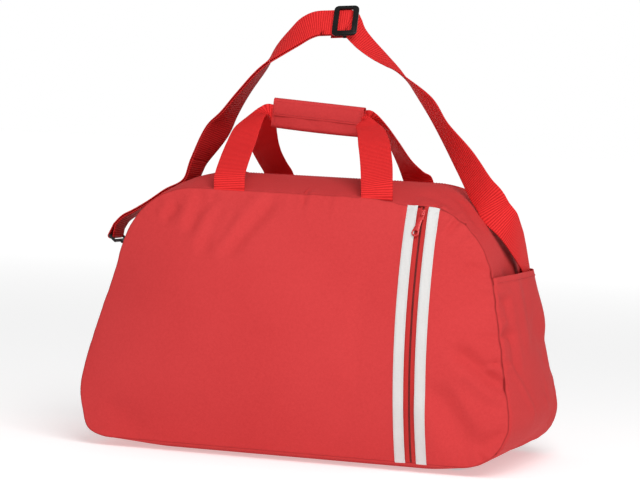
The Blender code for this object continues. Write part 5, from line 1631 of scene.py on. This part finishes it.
# Each row is a place, measured from a hook's bar or from the slide, and the way the webbing faces there.
STRAP_FROM_LEFT = (
    ((0.0025, 0.001, 0.0120), (-0.98, 0.00, 0.20)),
    ((0.0100, 0.003, 0.0225), (-0.80, 0.00, 0.60)),
    ((0.0235, 0.006, 0.0320), (-0.64, -0.01, 0.77)),
    ((0.0430, 0.008, 0.0440), (-0.61, 0.03, 0.79)),
    ((0.0655, 0.010, 0.0600), (-0.60, 0.06, 0.79)),
    ((0.0900, 0.010, 0.0740), (-0.70, 0.10, 0.70)),
)
STRAP_TO_ADJUSTER = (
    ((-0.184, 0.010, -0.1785), (-0.89, 0.23, 0.38)),
    ((-0.163, 0.010, -0.1425), (-0.77, 0.53, 0.31)),
    ((-0.147, 0.008, -0.1180), (-0.82, 0.22, 0.45)),
    ((-0.129, 0.005, -0.0915), (-0.80, 0.05, 0.57)),
    ((-0.104, 0.000, -0.0605), (-0.79, -0.10, 0.59)),
    ((-0.082, 0.000, -0.0355), (-0.59, -0.52, 0.64)),
    ((-0.062, -0.002, -0.0185), (-0.34, -0.72, 0.60)),
    ((-0.050, -0.003, -0.0092), (-0.14, -0.79, 0.60)),
    ((-0.0385, -0.0028, -0.0037), (0.02, -0.80, 0.60)),
)
STRAP_FROM_ADJUSTER = (
    ((0.0080, 0.004, -0.0055), (0.35, -0.70, 0.62)),
    ((0.0140, 0.009, -0.0155), (0.60, -0.52, 0.60)),
    ((0.0240, 0.012, -0.0262), (0.69, -0.42, 0.58)),
    ((0.0420, 0.012, -0.0405), (0.72, -0.30, 0.63)),
    ((0.0620, 0.008, -0.0545), (0.72, -0.10, 0.69)),
    ((0.0820, 0.000, -0.0695), (0.72, 0.20, 0.66)),
    ((0.1130, -0.008, -0.0985), (0.71, 0.54, 0.44)),
    ((0.1370, -0.022, -0.1300), (0.74, 0.58, 0.34)),
    ((0.1675, -0.042, -0.1640), (0.60, 0.80, 0.05)),
)
STRAP_TO_RIGHT = (
    ((-0.0485, -0.059, 0.1035), (0.34, 0.94, 0.00)),
    ((-0.0355, -0.064, 0.0898), (0.05, 0.98, -0.10)),
    ((-0.0260, -0.066, 0.0765), (-0.15, 0.97, -0.24)),
    ((-0.0120, -0.061, 0.0615), (-0.55, 0.80, -0.25)),
    ((-0.0040, -0.036, 0.0400), (-0.88, 0.44, -0.15)),
    ((-0.0005, -0.012, 0.0225), (-1.00, 0.05, -0.08)),
)


def from_anchors(near_first, first, near_second, second):
    places = [near_first + np.array(p) for p, _ in first] + [near_second + np.array(p) for p, _ in second]
    return places, [np.array(n) for _, n in first + second]


def turn_round(middle, start, onward, radius):
    """Half a turn round a bar, from the start's side, by way of onward, to the other side."""
    angle = HALF_TURN[:, None]
    return middle + radius * (start * np.cos(angle) + onward * np.sin(angle))


left_bar, right_bar = swivel_bar("left", -1), swivel_bar("right", 1)
slide_ahead = np.array([math.cos(ADJUSTER_SLOPE) * math.cos(ADJUSTER_SWING),
                        math.cos(ADJUSTER_SLOPE) * math.sin(ADJUSTER_SWING), math.sin(ADJUSTER_SLOPE)])
slide_run = ADJUSTER_POINT + slide_ahead * np.linspace(-STRAIGHT_BEFORE, STRAIGHT_AFTER, 5)[:, None]
slide_wide = unit(np.cross(slide_ahead, ADJUSTER_FACE))
left, left_facing = from_anchors(left_bar, STRAP_FROM_LEFT, ADJUSTER_POINT, STRAP_TO_ADJUSTER)
right, right_facing = from_anchors(ADJUSTER_POINT, STRAP_FROM_ADJUSTER, right_bar, STRAP_TO_RIGHT)
left = smooth_route(left + list(slide_run[:2]), STRAP_STEPS)[:-STRAP_STEPS]
left_wide = across_route(left, smooth_route(left_facing + [ADJUSTER_FACE] * 2, STRAP_STEPS)[:-STRAP_STEPS])
right = smooth_route(list(slide_run[-2:]) + right, STRAP_STEPS)[STRAP_STEPS:]
right_facing = smooth_route([ADJUSTER_FACE] * 2 + right_facing, STRAP_STEPS)[STRAP_STEPS:]
right_wide = across_route(right, right_facing)
left_wide[-1], right_wide[0] = slide_wide, slide_wide
under = left + unit(np.cross(np.gradient(left, axis=0), left_wide)) * STRAP_LAYERS
cut = len(STRAP_FROM_LEFT) * STRAP_STEPS
between = float(lengths_along(left)[-1] + lengths_along(right)[-1])
print("strap runs", round(between, 3), "m between its hooks")

# %% [markdown]
# ## Strap webbing
# The first band starts on the underside near the left hook, turns round its swivel, runs through the
# slide and ends sewn round the right hook's swivel. The second one goes on under it from where the first
# began, up to the slide's bar and round it.

# %% Shoulder strap
away = unit((left[0] + under[0]) / 2 - left_bar)
left_turn = turn_round(left_bar, np.cross(away, -CROSS), -away, STRAP_LOOP)
_, _, _, right_along, right_outer = hardware_frame("right", 1)
right_turn = turn_round(right_bar, right_outer, -right_along, STRAP_LOOP)
tail = right_bar + right_along * SEWN_TAIL - right_outer * WEBBING_T
spine = np.vstack([under[:cut + 1][::-1], left_turn, left, slide_run[1:-1], right, right_turn, tail[None]])
wide = np.vstack([left_wide[:cut + 1][::-1], np.tile(-CROSS, (len(left_turn), 1)), left_wide,
                  np.tile(slide_wide, (len(slide_run) - 2, 1)), right_wide,
                  np.tile(CROSS, (len(right_turn) + 1, 1))])
round_bar = cut + len(left_turn) // 2
twist = len(spine) - len(right_turn) - 1 - len(right) + TWIST * STRAP_STEPS
# Painted shade darkens one side of the strap all along it, switching sides at the left swivel's bar and at
# the twist.
faces = np.interp(np.arange(len(spine)),
                  (round_bar, round_bar + 1, twist - STRAP_STEPS, twist + STRAP_STEPS),
                  (-1.0, 1.0, 1.0, -1.0))
shoulder_strap = swept("shoulder_strap", spine, wide, webbing_profile, faces=faces)
settle(shoulder_strap, red_webbing, None, ["strap_arch", "strap_left_loop", "strap_right_end"])
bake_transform(shoulder_strap)

slide_face = np.cross(slide_wide, slide_ahead)
bar_depth = STRAP_LAYERS + WEBBING_T / 2 + GAP + ADJUSTER_T / 2
bend = ADJUSTER_POINT - slide_face * bar_depth + slide_ahead * (ADJUSTER_BAR / 2 - GAP)
turn = turn_round(bend, slide_face, slide_ahead, bar_depth - STRAP_LAYERS)
spine = np.vstack([under[cut:], turn, turn[-1] - slide_ahead * RETURN_TAIL])
wide = np.vstack([left_wide[cut:], np.tile(slide_wide, (len(turn) + 1, 1))])
# The second layer gets painted shade on its lower side.
strap_return = swept("strap_return_band", spine, wide, webbing_profile, faces=np.ones(len(spine)))
settle(strap_return, red_webbing, None, ["strap_return"])
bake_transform(strap_return)
print("strap webbing", round(float(lengths_along(spine)[-1]), 3), "m in its second layer")

# %% [markdown]
# ## Three-bar slide
# The moulded slide that sets the strap's length: a rounded frame in front of the webbing and one bar behind
# it, which the second layer turns round. A bevelled plate with an opening is joined to a bar on two posts.

# %% Three-bar slide
FRAME_ROUND, FRAME_BAR, POST_T = 0.0060, 0.0066, 0.0014
rail_in = WEBBING_WIDTH / 2 + 2 * GAP
front_low = WEBBING_T / 2 + GAP
rear_low = -bar_depth - ADJUSTER_T / 2
bar_half = ADJUSTER_BAR / 2
frame_half, frame_wide = ADJUSTER_LENGTH / 2 + 0.0015, rail_in + ADJUSTER_SIDE
outline = rounded_profile(frame_half, frame_wide, FRAME_ROUND, 6, 1)
slide = outline_plate("three_bar_slide", outline, ADJUSTER_T + 0.0008, 0.0010)
opening = bevelled_box("opening", (-frame_half + FRAME_BAR, -rail_in + 0.0030, -0.01),
                       (frame_half - FRAME_BAR, rail_in - 0.0014, 0.01), 0.0018)
boolean(slide, "DIFFERENCE", opening)
moved(slide, Matrix.Translation((0.0, 0.0, front_low + ADJUSTER_T / 2)))
middle = bevelled_box("bar", (-bar_half, -rail_in - 0.0015, rear_low),
                      (bar_half, rail_in + 0.0015, rear_low + ADJUSTER_T), 0.0008)
posts = [bevelled_box("post", (-bar_half, low, rear_low), (bar_half, low + POST_T, front_low + 0.001),
                      0.0006) for low in (rail_in, -rail_in - POST_T)]
boolean(slide, "UNION", middle, *posts)
moved(slide, frame_matrix(ADJUSTER_POINT, slide_ahead, np.cross(slide_face, slide_ahead), slide_face))
settle(smooth_edges(slide), black_plastic, "adjuster", ["strap_adjuster"])
print("slide", len(slide.data.polygons), "faces")

# %% [markdown]
# ## Stitching
# Rows of small stitches hold the ribbons, the slip pocket's hem, the edges of the top zip, and the wrap
# with its flap. They are real thread shapes, set just above the cloth.

# %% Stitching
STITCH_LIFT, RIBBON_ROW, RIBBON_LIFT = 0.0001, 0.0013, RIBBON_T + 0.0005
ZIP_ROW = ZIP_SLOT_HALF + 0.003


def wrap_row(runs, rises, y):
    """Places on the wrap's front, run along it and risen from its middle, all at one y."""
    route = WRAP_CENTRE + wrap_along * np.reshape(runs, (-1, 1)) + wrap_up * np.reshape(rises, (-1, 1))
    route[:, 1] = y
    return route


for side_name, (start, end) in RIBBON_EDGES.items():
    for edge_name, x in (("outer", start + RIBBON_ROW), ("inner", end - RIBBON_ROW)):
        zs = np.linspace(SEAM_BOTTOM + 0.004, roof(x) - 0.004, 160)
        route = front_surface(np.full(160, x), zs, np.full(160, RIBBON_LIFT))
        stitches(f"stitch_ribbon_{side_name}_{edge_name}", route, -CROSS, white_ribbon)
ys = np.linspace(-GUSSET_HALF + 0.006, GUSSET_HALF - 0.006, 120)
hem_out = np.array([math.cos(SIDE_LEAN), 0.0, math.sin(SIDE_LEAN)])
hem_row = pocket_surface(np.full(120, pocket_hem - HEM_DEPTH + 0.0016), ys, STITCH_LIFT)
stitches("stitch_hem", hem_row, hem_out)
for side_name, side in SIDES:
    for face_name, face in FACES:
        ys = np.full(60, face * ZIP_ROW)
        ss = side * np.linspace(S_SHOULDER_MID, end_s, 60)
        stitches(f"stitch_tail_{face_name}_{side_name}", gusset_surface(ss, ys, STITCH_LIFT), seam_out(ss))
        route = gusset_surface(top_rows(side, 60), ys, STITCH_LIFT)
        row = stitches(f"stitch_mouth_{face_name}_{side_name}", route, (0.0, 0.0, 1.0), body=None)
        fold_in(row, side, face, face_name)
for label, share in (("left", -0.93), ("right", 0.93)):
    run = share * WRAP_LENGTH / 2
    rises = np.linspace(-sleeve_tall + 0.004, FLAP_TOP - FLAP_DROP - 0.002, 20)
    route = wrap_row(run, rises, -(sleeve_inner + WRAP_T + 0.0004))
    stitches(f"stitch_wrap_{label}", route, -CROSS, body="grips")
    rises = np.linspace(FLAP_TOP - 0.002, FLAP_TOP - FLAP_DROP + 0.002, 20)
    stitches(f"stitch_flap_{label}", wrap_row(run, rises, flap_y - 0.0014), -CROSS, body="wrap_closure")
runs = np.linspace(-flap_half + 0.003, flap_half - 0.003, 40)
route = wrap_row(runs, FLAP_TOP - FLAP_DROP + 0.0025, flap_y - 0.0015)
stitches("stitch_flap_edge", route, -CROSS, body="wrap_closure")

# %% [markdown]
# ## Base board
# A stiff sheet lies on the bottom inside, and keeps its CAD shape with a board's finish.

# %% Base board
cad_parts["base_board"].data.materials.clear()
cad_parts["base_board"].data.materials.append(board_sheet.material)
hidden = [name for name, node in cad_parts.items() if node.hide_render]
print("CAD nodes replaced", len(hidden), "of", len(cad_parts))

# %% [markdown]
# ## Size and finish
# The box of the dressed bag is printed.

# %% Size and finish
low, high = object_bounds()
print("visual box", [round(x, 4) for x in (*low, *high)])
